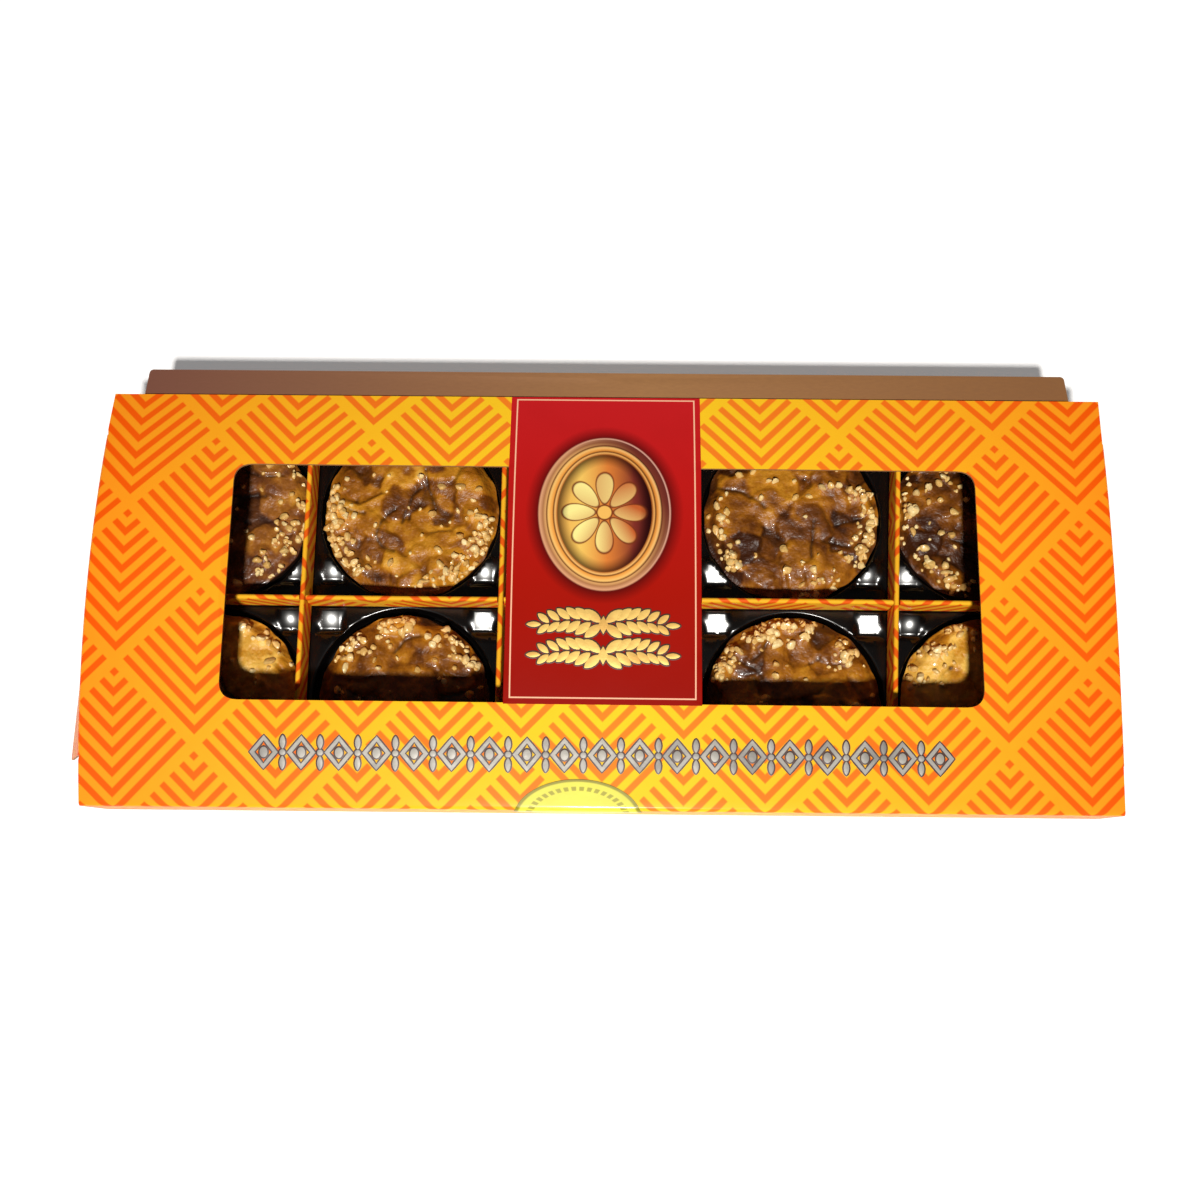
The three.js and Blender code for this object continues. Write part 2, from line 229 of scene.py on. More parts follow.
def grain(tree, scale, detail=2.0, stretch=(1, 1, 1)):
    """Noise from 0 to 1 through the solid, with so many lumps to the metre."""
    coordinates = tree.nodes.new("ShaderNodeTexCoord")
    mapping = tree.nodes.new("ShaderNodeMapping")
    mapping.inputs["Scale"].default_value = stretch
    noise = tree.nodes.new("ShaderNodeTexNoise")
    noise.inputs["Scale"].default_value = scale
    noise.inputs["Detail"].default_value = detail
    tree.links.new(coordinates.outputs["Object"], mapping.inputs["Vector"])
    tree.links.new(mapping.outputs["Vector"], noise.inputs["Vector"])
    return Field(tree, noise.outputs["Fac"])


def attribute(tree, name):
    """A number kept on the mesh's points."""
    node = tree.nodes.new("ShaderNodeAttribute")
    node.attribute_name = name
    return Field(tree, node.outputs["Fac"])


def axis_of(tree, places, axis):
    """One axis of a socket that gives places."""
    split = tree.nodes.new("ShaderNodeSeparateXYZ")
    tree.links.new(places, split.inputs[0])
    return Field(tree, split.outputs[axis])


def print_place(tree):
    """Where a point lies on the flat card, in millimetres."""
    uv = tree.nodes.new("ShaderNodeUVMap")
    uv.uv_map = "print"
    return axis_of(tree, uv.outputs["UV"], "X"), axis_of(tree, uv.outputs["UV"], "Y")


def relief(tree, shader, height, depth):
    """Bumps the shader's surface by a height from 0 to 1, so many metres deep."""
    bump = tree.nodes.new("ShaderNodeBump")
    bump.inputs["Distance"].default_value = depth
    feed(tree, bump.inputs["Height"], height)
    tree.links.new(bump.outputs["Normal"], shader.inputs["Normal"])


def start_material(name):
    """A new material and its node tree."""
    material = bpy.data.materials.new(name)
    material.use_nodes = True
    return material, material.node_tree


def finish_material(tree, colour, roughness, height, depth, shine=None):
    """Gives a material's shader its colour, roughness and relief, and its shine by socket name."""
    shader = tree.nodes["Principled BSDF"]
    feed(tree, shader.inputs["Base Color"], colour)
    feed(tree, shader.inputs["Roughness"], roughness)
    relief(tree, shader, height, depth)
    for socket, number in (shine or {}).items():
        shader.inputs[socket].default_value = number


# -------------------- printed card

PRINT_SHINE = {"Specular IOR Level": 0.05, "Coat Weight": 0.09, "Coat Roughness": 0.15}


def finish_print(tree, colour, roughness):
    """A glazed print, even but for the card's grain."""
    uneven = (grain(tree, 90.0) - 0.5) * 0.12 + roughness
    finish_material(tree, colour, uneven, grain(tree, 500.0, 3.0), 0.00001, PRINT_SHINE)


# The chevrons' lattice, in millimetres: half the width of a diamond, its height, and the top
# of one. Strokes and margins are shares of a diamond's side.
CHEVRON_COLUMN = 26.5
CHEVRON_PERIOD = 53.4
CHEVRON_TOP = -23.7
CHEVRON_FIRST = 0.078
CHEVRON_PITCH = 0.1206
CHEVRON_HALF_STROKE = 0.0285
CHEVRON_MARGIN = 0.047
CHEVRON_SOFT = 0.012


def chevron_ink(x, y):
    """1 on the strokes of nested Vs, which fill a lattice of upright diamonds."""
    across = x / (2 * CHEVRON_COLUMN)
    up = (y - CHEVRON_TOP) / CHEVRON_PERIOD
    from_right = ((across + up) * -1).fraction()
    from_left = (across - up).fraction()
    far = from_right.most(from_left)
    near = from_right.least(from_left)
    turn = ((far - CHEVRON_FIRST) / CHEVRON_PITCH + 0.5).fraction() - 0.5
    stroke = abs(turn * CHEVRON_PITCH).below(CHEVRON_HALF_STROKE, CHEVRON_SOFT)
    inside = near.above(CHEVRON_MARGIN, CHEVRON_SOFT) * far.below(1 - CHEVRON_MARGIN, CHEVRON_SOFT)
    return stroke * inside


def chevron_card(name, middle, sides, roughness):
    """Card printed with chevrons. Middle and sides are each (ground, stroke)."""
    material, tree = start_material(name)
    x, y = print_place(tree)
    outward = (abs(x) / LID_HALF_WIDTH).math("POWER", 1.3, clamp=True)
    ground, stroke = (mix(tree, outward, *colours) for colours in zip(middle, sides))
    mottle = (grain(tree, 260.0) - 0.5) * 0.10 + 0.04
    colour = mix(tree, mottle, mix(tree, chevron_ink(x, y), ground, stroke), stroke)
    finish_print(tree, colour, roughness)
    return material


OVAL_MIDDLE_Y = 27.9
OVAL_HALF_WIDTH = 22.3
OVAL_HALF_HEIGHT = 27.2
OVAL_RING = 6.5
ROSETTE_PETALS = 8
PETAL_DISTANCE = 8.6
PETAL_HALF_LENGTH = 5.3
PETAL_HALF_WIDTH = 2.7
ROSETTE_EYE = 2.3

# Colours of the oval frame from its outer edge inwards, on its lit and on its shaded side, and
# of the hollow in it from left to right.
RINGS_SPAN = OVAL_RING * 1.25
LIT_RINGS = (
    (0.0, 150, 84, 66), (0.06, 224, 164, 122), (0.20, 176, 118, 76), (0.31, 222, 166, 104),
    (0.36, 112, 62, 28), (0.43, 250, 196, 112), (0.58, 240, 160, 70), (0.64, 104, 52, 22),
    (0.70, 250, 190, 110), (0.79, 176, 100, 40), (0.82, 52, 14, 10),
)
SHADED_RINGS = (
    (0.0, 170, 104, 90), (0.05, 222, 170, 150), (0.09, 104, 42, 36), (0.34, 120, 54, 40),
    (0.38, 70, 26, 16), (0.45, 246, 188, 116), (0.56, 222, 140, 58), (0.63, 92, 42, 16),
    (0.69, 238, 170, 90), (0.76, 150, 74, 26), (0.81, 28, 4, 8),
)
HOLLOW = (
    (0.16, 238, 176, 84), (0.32, 246, 200, 98), (0.52, 222, 128, 56),
    (0.72, 130, 50, 40), (0.84, 44, 8, 14),
)
PETAL_SHADED, PETAL_LIT = paint(196, 96, 46), paint(255, 240, 150)
PETAL_EDGE, EYE_COLOUR = paint(120, 52, 26), paint(246, 190, 96)


def oval_depth(x, y):
    """Millimetres inwards from the oval frame's outer edge, nearly."""
    wide = x / OVAL_HALF_WIDTH
    tall = y / OVAL_HALF_HEIGHT
    reach = length_of(wide, tall).most(0.01)
    slope = length_of(wide / OVAL_HALF_WIDTH, tall / OVAL_HALF_HEIGHT).most(0.0001)
    return reach.inverse() * reach / slope


def rosette_colour(tree, x, y, ground):
    """A plain rosette of almond-shaped petals round an eye, lit from its left."""
    radius = length_of(x, y)
    sector = (y.math("ARCTAN2", x) * (ROSETTE_PETALS / math.tau) + 0.5).fraction() - 0.5
    local = sector * (math.tau / ROSETTE_PETALS)
    outwards = (radius * local.math("COSINE") - PETAL_DISTANCE) / PETAL_HALF_LENGTH
    across = radius * local.math("SINE") / PETAL_HALF_WIDTH
    form = length_of(outwards, across / (outwards * 0.28 + 1.0))
    lit = (x / 26.0 * -1 + across * -0.22 + 0.55).clamped()
    edge = mix(tree, form.below(1.13, 0.12), ground, PETAL_EDGE)
    colour = mix(tree, form.below(1.0, 0.12), edge, mix(tree, lit, PETAL_SHADED, PETAL_LIT))
    eye_edge = mix(tree, radius.below(ROSETTE_EYE + 0.5, 0.3), colour, PETAL_EDGE)
    return mix(tree, radius.below(ROSETTE_EYE, 0.4), eye_edge, EYE_COLOUR)


def oval_colour(tree, x, y, panel):
    """The oval frame's rings and what it holds, printed on the panel's red."""
    depth = oval_depth(x, y)
    shaded = (x / OVAL_HALF_WIDTH * 0.45 + y / OVAL_HALF_HEIGHT * 0.3 + 0.42).clamped()
    lit_rings, shaded_rings = (ramp(tree, depth / RINGS_SPAN, *r) for r in (LIT_RINGS, SHADED_RINGS))
    rings = mix(tree, shaded.above(0.62, 0.5), lit_rings, shaded_rings)
    ground = ramp(tree, x / (2 * OVAL_HALF_WIDTH) + 0.5, *HOLLOW)
    held = rosette_colour(tree, x, y, ground)
    hollow = mix(tree, depth.below(OVAL_RING + 2.2, 3.4) * 0.8, held, paint(40, 10, 10))
    framed = mix(tree, depth.above(OVAL_RING, 0.3), rings, hollow)
    red = mix(tree, depth.above(-2.0, 4.6) * 0.85, panel, paint(58, 10, 10))
    return mix(tree, depth.above(0.0, 0.3), red, framed)


PANEL_LINE_INSET = 2.1
PANEL_LINE_WIDTH = 0.45


def panel_line(x, y):
    """1 on the thin line that runs round the red panel."""
    half_width = WINDOW_INNER - PANEL_LINE_INSET
    front = PANEL_FRONT + PANEL_LINE_INSET
    back = LID_HALF_DEPTH - PANEL_LINE_INSET / 2
    sideways = abs(x) - half_width
    lengthways = abs(y - (front + back) / 2) - (back - front) / 2
    return abs(sideways.most(lengthways)).below(PANEL_LINE_WIDTH / 2, 0.15)


def red_panel():
    """The panel between the windows: red, darker towards the front, with a line and an oval."""
    material, tree = start_material("red_panel_print")
    x, y = print_place(tree)
    share = (y - PANEL_FRONT) / (LID_HALF_DEPTH - PANEL_FRONT)
    red = ramp(tree, share, (0, 150, 18, 8), (0.35, 168, 22, 10), (0.7, 190, 26, 24), (1, 200, 32, 36))
    mottled = mix(tree, (grain(tree, 60.0) - 0.5) * 0.3, red, paint(140, 16, 12))
    lined = mix(tree, panel_line(x, y), mottled, paint(255, 196, 160))
    finish_print(tree, oval_colour(tree, x, y - OVAL_MIDDLE_Y, lined), 0.36)
    return material


STICKER_DASHES = 40
STICKER_SHINE = {"Specular IOR Level": 0.25, "Coat Weight": 0.2, "Coat Roughness": 0.1}


def sticker_paper():
    """Glossy paper seal with a dark edge and a ring of dashes inside it."""
    material, tree = start_material("lime_paper")
    x, y = print_place(tree)
    across = (x - STICKER_X) / STICKER_HALF_WIDTH
    up = (y - STICKER_Y) / STICKER_HALF_HEIGHT
    form = length_of(across, up)
    blotch = grain(tree, 120.0, 3.0)
    lime = mix(tree, blotch, paint(214, 206, 40), paint(240, 236, 84))
    rim = mix(tree, form.above(0.94, 0.03), lime, paint(150, 140, 22))
    dashes = (up.math("ARCTAN2", across) * (STICKER_DASHES / math.tau)).fraction().between(0.2, 0.8, 0.1)
    ringed = mix(tree, form.between(0.72, 0.82, 0.02) * dashes * 0.8, rim, paint(150, 138, 22))
    finish_material(tree, ringed, blotch * 0.15 + 0.35, grain(tree, 300.0, 2.0), 0.00005, STICKER_SHINE)
    return material


def foil(name, light, dark, roughness):
    """Pressed foil: a metal sheen that runs from light to dark in soft clouds."""
    material, tree = start_material(name)
    colour = mix(tree, grain(tree, 55.0, 1.0).between(0.35, 0.9, 0.3), dark, light)
    uneven = grain(tree, 500.0) * 0.2 + roughness
    finish_material(tree, colour, uneven, grain(tree, 900.0), 0.00003, {"Metallic": 0.35})
    return material


def dark_ink():
    material, tree = start_material("dark_ink")
    specks = grain(tree, 300.0)
    colour = mix(tree, specks, paint(40, 18, 14), paint(86, 50, 34))
    finish_material(tree, colour, specks * 0.1 + 0.4, specks, 0.00001)
    return material


# -------------------- bare card, film, insert, floor


def card_fibres(tree):
    return grain(tree, 420.0, 4.0, (1, 3, 1))


def finish_card(tree, colour, fibres, roughness):
    finish_material(tree, colour, fibres * 0.15 + roughness, fibres, 0.00004)


def shade_darkened_board():
    """The lid's unprinted side and cut edges, in a slow change of colour: brown, darker than bare board, as
    painted shade that keeps the carton's inside and the window edges dark.
    """
    material, tree = start_material("shade_darkened_board")
    fibres = card_fibres(tree)
    share = fibres * 0.45 + grain(tree, 14.0) * 0.5
    # Painted shade: the board is coloured brown, darker than bare board.
    finish_card(tree, mix(tree, share, paint(140, 92, 52), paint(176, 122, 70)), fibres, 0.6)
    return material


BROWN_RUN = ((0.04, 122, 76, 62), (0.22, 138, 94, 68), (0.55, 170, 122, 76), (0.96, 146, 100, 60))


def brown_card():
    """The tray's card, warmer and lighter towards the middle of the carton."""
    material, tree = start_material("brown_card")
    places = tree.nodes.new("ShaderNodeTexCoord").outputs["Object"]
    share = axis_of(tree, places, "X") / (2 * LID_HALF_WIDTH * MM) + 0.5
    run = ramp(tree, share, *BROWN_RUN)
    fibres = card_fibres(tree)
    finish_card(tree, mix(tree, fibres * 0.35, run, paint(112, 74, 50)), fibres, 0.42)
    return material


FILM_MIRROR = 0.005


def clear_film():
    """Thin film: what isn't mirrored passes straight through. The mirrored share rises with the
    slant by Schlick's sum, as a Fresnel node would take the film's inner side for a full mirror."""
    material, tree = start_material("clear_film")
    tree.nodes.remove(tree.nodes["Principled BSDF"])
    through = tree.nodes.new("ShaderNodeBsdfTransparent")
    through.inputs["Color"].default_value = (0.985, 0.985, 0.98, 1)
    mirror = tree.nodes.new("ShaderNodeBsdfGlossy")
    mirror.inputs["Roughness"].default_value = 0.03
    relief(tree, mirror, grain(tree, 45.0, 1.0), 0.0004)
    slant = Field(tree, tree.nodes.new("ShaderNodeLayerWeight").outputs["Facing"])
    both = tree.nodes.new("ShaderNodeMixShader")
    feed(tree, both.inputs[0], slant.math("POWER", 5) * (1 - FILM_MIRROR) + FILM_MIRROR)
    tree.links.new(through.outputs[0], both.inputs[1])
    tree.links.new(mirror.outputs[0], both.inputs[2])
    tree.links.new(both.outputs[0], tree.nodes["Material Output"].inputs["Surface"])
    return material


def black_sheet():
    """Formed black plastic, glossy where it was pressed smooth."""
    material, tree = start_material("black_formed_sheet")
    cloud = grain(tree, 40.0)
    colour = mix(tree, cloud, paint(4, 3, 3), paint(11, 8, 7))
    shine = {"Coat Weight": 0.25, "Coat Roughness": 0.2}
    finish_material(tree, colour, cloud * 0.1 + 0.17, grain(tree, 130.0, 2.0), 0.00003, shine)
    return material


def pale_floor():
    material, tree = start_material("pale_floor")
    shader = tree.nodes["Principled BSDF"]
    colour = mix(tree, grain(tree, 3.0), paint(247, 247, 247), paint(250, 250, 250))
    feed(tree, shader.inputs["Base Color"], colour)
    shader.inputs["Roughness"].default_value = 0.9
    shader.inputs["Emission Color"].default_value = (1, 1, 1, 1)
    shader.inputs["Emission Strength"].default_value = 0.22
    return material


# -------------------- food

CARAMEL_SHINE = {"Specular IOR Level": 0.4, "Coat Weight": 0.25, "Coat Roughness": 0.08}
CARAMEL = (
    (0.0, 60, 26, 3), (0.25, 112, 60, 8), (0.5, 164, 100, 16), (0.75, 208, 142, 34), (1.0, 244, 194, 88),
)


def caramel():
    """Glazed almond: tone runs from brown to gold. Cracks, gaps between flakes and hollows are darkened
    towards near black, partly the darker caramel of the gaps and partly painted shade.
    """
    material, tree = start_material("caramel_almond")
    fine = grain(tree, 1000.0, 3.0)
    coarse = grain(tree, 210.0, 3.0)
    tone = attribute(tree, "tone") + (coarse - 0.5) * 0.75 + (fine - 0.5) * 0.25
    dusky = mix(tree, attribute(tree, "mauve"), ramp(tree, tone, *CARAMEL), paint(112, 72, 60))
    # Painted shade: cracks, gaps and hollows darkened towards near black, with the gaps' darker caramel.
    dark_gaps_and_shade = (attribute(tree, "dark_gaps_and_shade") + (fine - 0.5) * 0.3).clamped()
    colour = mix(tree, dark_gaps_and_shade, dusky, paint(30, 12, 3))
    finish_material(tree, colour, fine * 0.4 + 0.2, coarse * 0.7 + fine * 0.3, 0.0009, CARAMEL_SHINE)
    return material


def dark_chocolate():
    material, tree = start_material("dark_chocolate")
    cloud = grain(tree, 160.0, 3.0)
    colour = mix(tree, cloud, paint(24, 11, 7), paint(46, 24, 15))
    finish_material(tree, colour, cloud * 0.25 + 0.25, cloud, 0.0004, {"Coat Weight": 0.3})
    return material


NUT_SHINE = {"Coat Weight": 0.5, "Coat Roughness": 0.15}
NUT_COLOURS = ((0.0, 150, 92, 32), (0.35, 206, 150, 70), (0.7, 236, 194, 116), (1.0, 252, 226, 164))


def chopped_nut():
    material, tree = start_material("chopped_nut")
    fine = grain(tree, 1100.0, 2.0)
    tone = attribute(tree, "tone") + (fine - 0.5) * 0.35
    colour = ramp(tree, tone, *NUT_COLOURS)
    finish_material(tree, colour, fine * 0.25 + 0.28, fine, 0.0003, NUT_SHINE)
    return material


# -------------------- mesh helpers


def add_object(name, data):
    made = bpy.data.objects.new(name, data)
    bpy.context.scene.collection.objects.link(made)
    return made


def put_piece(name, points, faces, materials, nodes=(), kinds=None, uv=None, marks=None, sharp=35):
    """Makes a piece of the object from points in millimetres from the lid's middle.
    kinds holds each face's material, uv each point's place in the print, and marks any other
    numbers of the points. Edges sharper than sharp degrees aren't smoothed over."""
    mesh = bpy.data.meshes.new(name)
    placed = np.asarray(points, float) * MM + np.array(MIDDLE)
    mesh.from_pydata(placed.tolist(), [], [tuple(int(i) for i in face) for face in faces])
    for material in materials:
        mesh.materials.append(material)
    if kinds is not None:
        mesh.polygons.foreach_set("material_index", np.asarray(kinds, np.int32))
    if uv is not None:
        corners = np.zeros(len(mesh.loops), np.int32)
        mesh.loops.foreach_get("vertex_index", corners)
        layer = mesh.uv_layers.new(name="print")
        layer.data.foreach_set("uv", np.asarray(uv, np.float32)[corners].ravel())
    for mark, values in (marks or {}).items():
        layer = mesh.attributes.new(mark, "FLOAT", "POINT")
        layer.data.foreach_set("value", np.asarray(values, np.float32))
    mesh.validate()
    mesh.shade_smooth()
    mesh.set_sharp_from_angle(angle=math.radians(sharp))
    piece = add_object(name, mesh)
    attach(piece, "root")
    if nodes:
        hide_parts(*nodes)
    return piece


def span(start, stop, step):
    """Evenly spaced values from start to stop, both included, about a step apart."""
    return np.linspace(start, stop, max(2, int(round(abs(stop - start) / step)) + 1))


def turns(count):
    """Angles of so many even steps round a circle."""
    return [math.tau * step / count for step in range(count)]


def polar(far, angle):
    return far * math.cos(angle), far * math.sin(angle)


def round_corners(corners, steps=6):
    """A closed outline from (x, y, radius) corners, each rounded by its radius."""
    outline = []
    for index, (x, y, radius) in enumerate(corners):
        here = Vector((x, y))
        if radius == 0:
            outline.append(here)
            continue
        before = Vector(corners[index - 1][:2]) - here
        after = Vector(corners[(index + 1) % len(corners)][:2]) - here
        start = here + before.normalized() * radius
        stop = here + after.normalized() * radius
        for share in np.linspace(0, 1, steps + 1):
            outline.append(start * (1 - share) ** 2 + here * 2 * share * (1 - share) + stop * share**2)
    return outline


def is_inside(point, outline):
    """Whether a flat point lies inside a closed outline."""
    inside = False
    x, y = point
    for index, (ax, ay) in enumerate(outline):
        bx, by = outline[index - 1]
        if (ay > y) != (by > y) and x < (bx - ax) * (y - ay) / (by - ay) + ax:
            inside = not inside
    return inside


def tile(points, outlines, keeps):
    """Triangles over points and closed outlines. keeps(middle) says which of them stay."""
    flat = [Vector(point) for point in points]
    edges = []
    for outline in outlines:
        first = len(flat)
        flat.extend(Vector(point) for point in outline)
        count = len(outline)
        edges.extend((first + step, first + (step + 1) % count) for step in range(count))
    found, _, triangles, *_ = geometry.delaunay_2d_cdt(flat, edges, [], 0, 1e-5)
    kept = []
    for a, b, c in triangles:
        turn = (found[b] - found[a]).cross(found[c] - found[a])
        middle = (found[a] + found[b] + found[c]) / 3
        if abs(turn) > 1e-6 and keeps(middle):
            kept.append((a, b, c) if turn > 0 else (a, c, b))
    used = sorted({index for triangle in kept for index in triangle})
    renumbered = {old: new for new, old in enumerate(used)}
    return [found[index] for index in used], [tuple(renumbered[i] for i in face) for face in kept]


def thicken(count, triangles):
    """Adds to an upper layer of faces a lower layer, count points on, and the walls between."""
    faces = list(triangles)
    faces.extend((a + count, c + count, b + count) for a, b, c in triangles)
    sides = {(face[step], face[(step + 1) % 3]) for face in triangles for step in range(3)}
    faces.extend((a, a + count, b + count, b) for a, b in sorted(sides) if (b, a) not in sides)
    return faces


def cut_sheet(outline, columns, rows):
    """A flat sheet's points, and the faces of a solid with as many points again underneath."""
    grid = [(u, v) for u in columns for v in rows if is_inside((u, v), outline)]
    flat, triangles = tile(grid, [outline], lambda middle: is_inside(middle, outline))
    return flat, thicken(len(flat), triangles)


def loft(loops, ringed=False):
    """Points and faces of a closed skin through loops with the same number of points.
    Ringed joins the last loop to the first. Otherwise both have a face across them."""
    count = len(loops[0])
    points = [Vector(point) for loop in loops for point in loop]
    faces = []
    for ring in range(len(loops) if ringed else len(loops) - 1):
        for step in range(count):
            here = (step, (step + 1) % count)
            a, b = (ring * count + place for place in here)
            c, d = ((ring + 1) % len(loops) * count + place for place in reversed(here))
            faces.append((a, b, c, d))
    if not ringed:
        faces.append(tuple(reversed(range(count))))
        faces.append(tuple(range(len(points) - count, len(points))))
    return points, faces


def join(parts):
    """One list of points and faces from several."""
    points, faces = [], []
    for more_points, more_faces in parts:
        first = len(points)
        points.extend(more_points)
        faces.extend(tuple(index + first for index in face) for face in more_faces)
    return points, faces


# -------------------- lid


def lid_height(x, y):
    """Height of the lid's upper face: the arches of its two sides, blended across."""
    t = y / LID_HALF_DEPTH
    rises = [arch["bow"] * (1 - t * t) * (1 + arch["lean"] * t) for arch in (LEFT_ARCH, RIGHT_ARCH)]
    across = x / (2 * LID_HALF_WIDTH) + 0.5
    return LID_EDGE_HEIGHT + rises[0] * (1 - across) + rises[1] * across


def on_panel(x, y):
    return Vector((x, y, lid_height(x, y)))


def round_fold(start, corner, direction, out):
    """A point past or near a fold: out is the distance beyond it along the card."""
    stop = corner + direction * FOLD_REACH
    if out >= FOLD_REACH:
        return corner + direction * out
    share = (out + FOLD_REACH) / (2 * FOLD_REACH)
    return start * (1 - share) ** 2 + corner * 2 * share * (1 - share) + stop * share**2


def side_flap_way(side, y):
    """A side flap's fold, the direction in which it hangs, and its length there."""
    front, back = LEFT_SPREAD if side < 0 else RIGHT_SPREAD
    spread = front + (back - front) * (y / SIDE_FLAP_HALF + 1) / 2
    corner = on_panel(side * LID_HALF_WIDTH, y)
    foot = Vector((side * (LID_HALF_WIDTH + spread), y, SIDE_FLAP_FOOT))
    return corner, (foot - corner).normalized(), (foot - corner).length


def on_lid(u, v, flapped):
    """The lid's outer face at a place on its blank. Flapped says that a side flap is there."""
    side = 1 if u > 0 else -1
    beyond = abs(u) - LID_HALF_WIDTH
    if flapped and beyond > -FOLD_REACH:
        corner, direction, length = side_flap_way(side, v)
        out = beyond * length / SIDE_FLAP_SPAN if beyond > 0 else beyond
        return round_fold(on_panel(side * (LID_HALF_WIDTH - FOLD_REACH), v), corner, direction, out)
    forward = -v - LID_HALF_DEPTH
    if forward > -FOLD_REACH:
        corner = on_panel(u, -LID_HALF_DEPTH)
        return round_fold(on_panel(u, -LID_HALF_DEPTH + FOLD_REACH), corner, Vector((0, 0, -1)), forward)
    return on_panel(u, v)


def off_lid(u, v, lift):
    """A point so far outwards from the lid's outer face."""
    step = 0.05
    flapped = abs(v) <= SIDE_FLAP_HALF + 1e-4
    across = on_lid(u + step, v, flapped) - on_lid(u - step, v, flapped)
    along = on_lid(u, v + step, flapped) - on_lid(u, v - step, flapped)
    return on_lid(u, v, flapped) + across.cross(along).normalized() * lift


def print_spot(u, v):
    """The place of a blank point in the print, whose side flaps are at their true length."""
    beyond = abs(u) - LID_HALF_WIDTH
    if beyond <= 0 or abs(v) > SIDE_FLAP_HALF + 1e-4:
        return (u, v)
    side = 1 if u > 0 else -1
    length = side_flap_way(side, v)[2]
    return (side * (LID_HALF_WIDTH + beyond * length / SIDE_FLAP_SPAN), v)


def window_outline(side, margin=0.0):
    inner = WINDOW_INNER - margin
    outer = WINDOW_OUTER + margin
    front = WINDOW_FRONT - margin
    back = WINDOW_BACK + margin
    corners = [
        (side * inner, front, 0),
        (side * outer, front, WINDOW_RADIUS),
        (side * outer, back, WINDOW_RADIUS),
        (side * inner, back, 0),
    ]
    return round_corners(corners)


def blank_outline():
    wide = LID_HALF_WIDTH
    flap = LID_HALF_WIDTH + SIDE_FLAP_SPAN
    front = -LID_HALF_DEPTH - FRONT_FLAP_DROP
    half = SIDE_FLAP_HALF
    return round_corners([
        (-wide, front, 1.5), (wide, front, 1.5), (wide, -half, 0), (flap, -half, 2),
        (flap, half, 2), (wide, half, 0), (wide, LID_HALF_DEPTH, 0), (-wide, LID_HALF_DEPTH, 0),
        (-wide, half, 0), (-flap, half, 2), (-flap, -half, 2), (-wide, -half, 0),
    ], 3)


def panel_outline():
    return [
        (-WINDOW_INNER, LID_HALF_DEPTH), (-WINDOW_INNER, PANEL_FRONT),
        (WINDOW_INNER, PANEL_FRONT), (WINDOW_INNER, LID_HALF_DEPTH),
    ]


def fold_stations(edge):
    """Grid lines close together through a fold."""
    return [edge + FOLD_REACH * share for share in (-1, -0.6, -0.3, 0, 0.3, 0.6, 1)]


def build_lid(card, red, board):
    """A printed blank with two windows, folded over the carton."""
    outline = blank_outline()
    windows = [window_outline(-1), window_outline(1)]
    right = [*fold_stations(LID_HALF_WIDTH), *span(LID_HALF_WIDTH + 5, LID_HALF_WIDTH + SIDE_FLAP_SPAN, 4)]
    columns = [*[-u for u in right], *span(-LID_HALF_WIDTH + 5, LID_HALF_WIDTH - 5, 4), *right]
    front = -LID_HALF_DEPTH
    rows = [*span(front - FRONT_FLAP_DROP, front - 4, 4), *fold_stations(front)]
    rows += [*span(front + 4, -front, 3.5), -SIDE_FLAP_HALF, SIDE_FLAP_HALF]
    grid = [(u, v) for u in columns for v in rows if is_inside((u, v), outline)]

    def keeps(middle):
        return is_inside(middle, outline) and not any(is_inside(middle, window) for window in windows)

    flat, triangles = tile(grid, [outline, *windows, panel_outline()], keeps)
    middles = [(flat[a] + flat[b] + flat[c]) / 3 for a, b, c in triangles]
    kinds = [int(abs(middle.x) < WINDOW_INNER and middle.y > PANEL_FRONT) for middle in middles]
    faces = thicken(len(flat), triangles)
    kinds += [2] * (len(faces) - len(kinds))
    points = [off_lid(u, v, -depth) for depth in (0, BOARD) for u, v in flat]
    uv = [print_spot(u, v) for u, v in flat] * 2
    put_piece("printed_lid", points, faces, [card, red, board], ["carton_lid"], kinds, uv)


def build_films(film):
    """Film under each window, a margin wider than it."""
    rows = span(WINDOW_FRONT - FILM_MARGIN, WINDOW_BACK + FILM_MARGIN, 4)
    for side, name in ((-1, "left"), (1, "right")):
        ends = sorted((side * (WINDOW_INNER - FILM_MARGIN), side * (WINDOW_OUTER + FILM_MARGIN)))
        flat, faces = cut_sheet(window_outline(side, FILM_MARGIN), span(*ends, 4), rows)
        drops = (FILM_DROP, FILM_DROP + FILM_THICKNESS)
        points = [on_panel(u, v) - Vector((0, 0, drop)) for drop in drops for u, v in flat]
        put_piece(f"film_{name}", points, faces, [film], [f"window_film_{name}"])


def build_sticker(paper):
    """An oval seal, folded over the lid's front edge."""
    oval = oval_loop(STICKER_X, STICKER_Y, STICKER_HALF_WIDTH, STICKER_HALF_HEIGHT, count=64)
    fold = -LID_HALF_DEPTH
    rows = [*span(STICKER_Y - STICKER_HALF_HEIGHT, fold - 2, 1.5), *fold_stations(fold)]
    rows += span(fold + 2, STICKER_Y + STICKER_HALF_HEIGHT, 1.5).tolist()
    columns = span(STICKER_X - STICKER_HALF_WIDTH, STICKER_X + STICKER_HALF_WIDTH, 2)
    flat, faces = cut_sheet(oval, columns, rows)
    points = [off_lid(u, v, lift) for lift in STICKER_LIFTS for u, v in flat]
    uv = [tuple(point) for point in flat] * 2
    put_piece("lime_seal", points, faces, [paper], ["seal_sticker"], uv=uv)


# -------------------- foil ornaments

FOOT_LIFT = 0.01
INK_LIFT = 0.03
FOIL_LIFT = 0.14
OUTLINE_GROWTH = 0.5
PAD_BEVEL, PAD_RISE = 0.15, 0.02


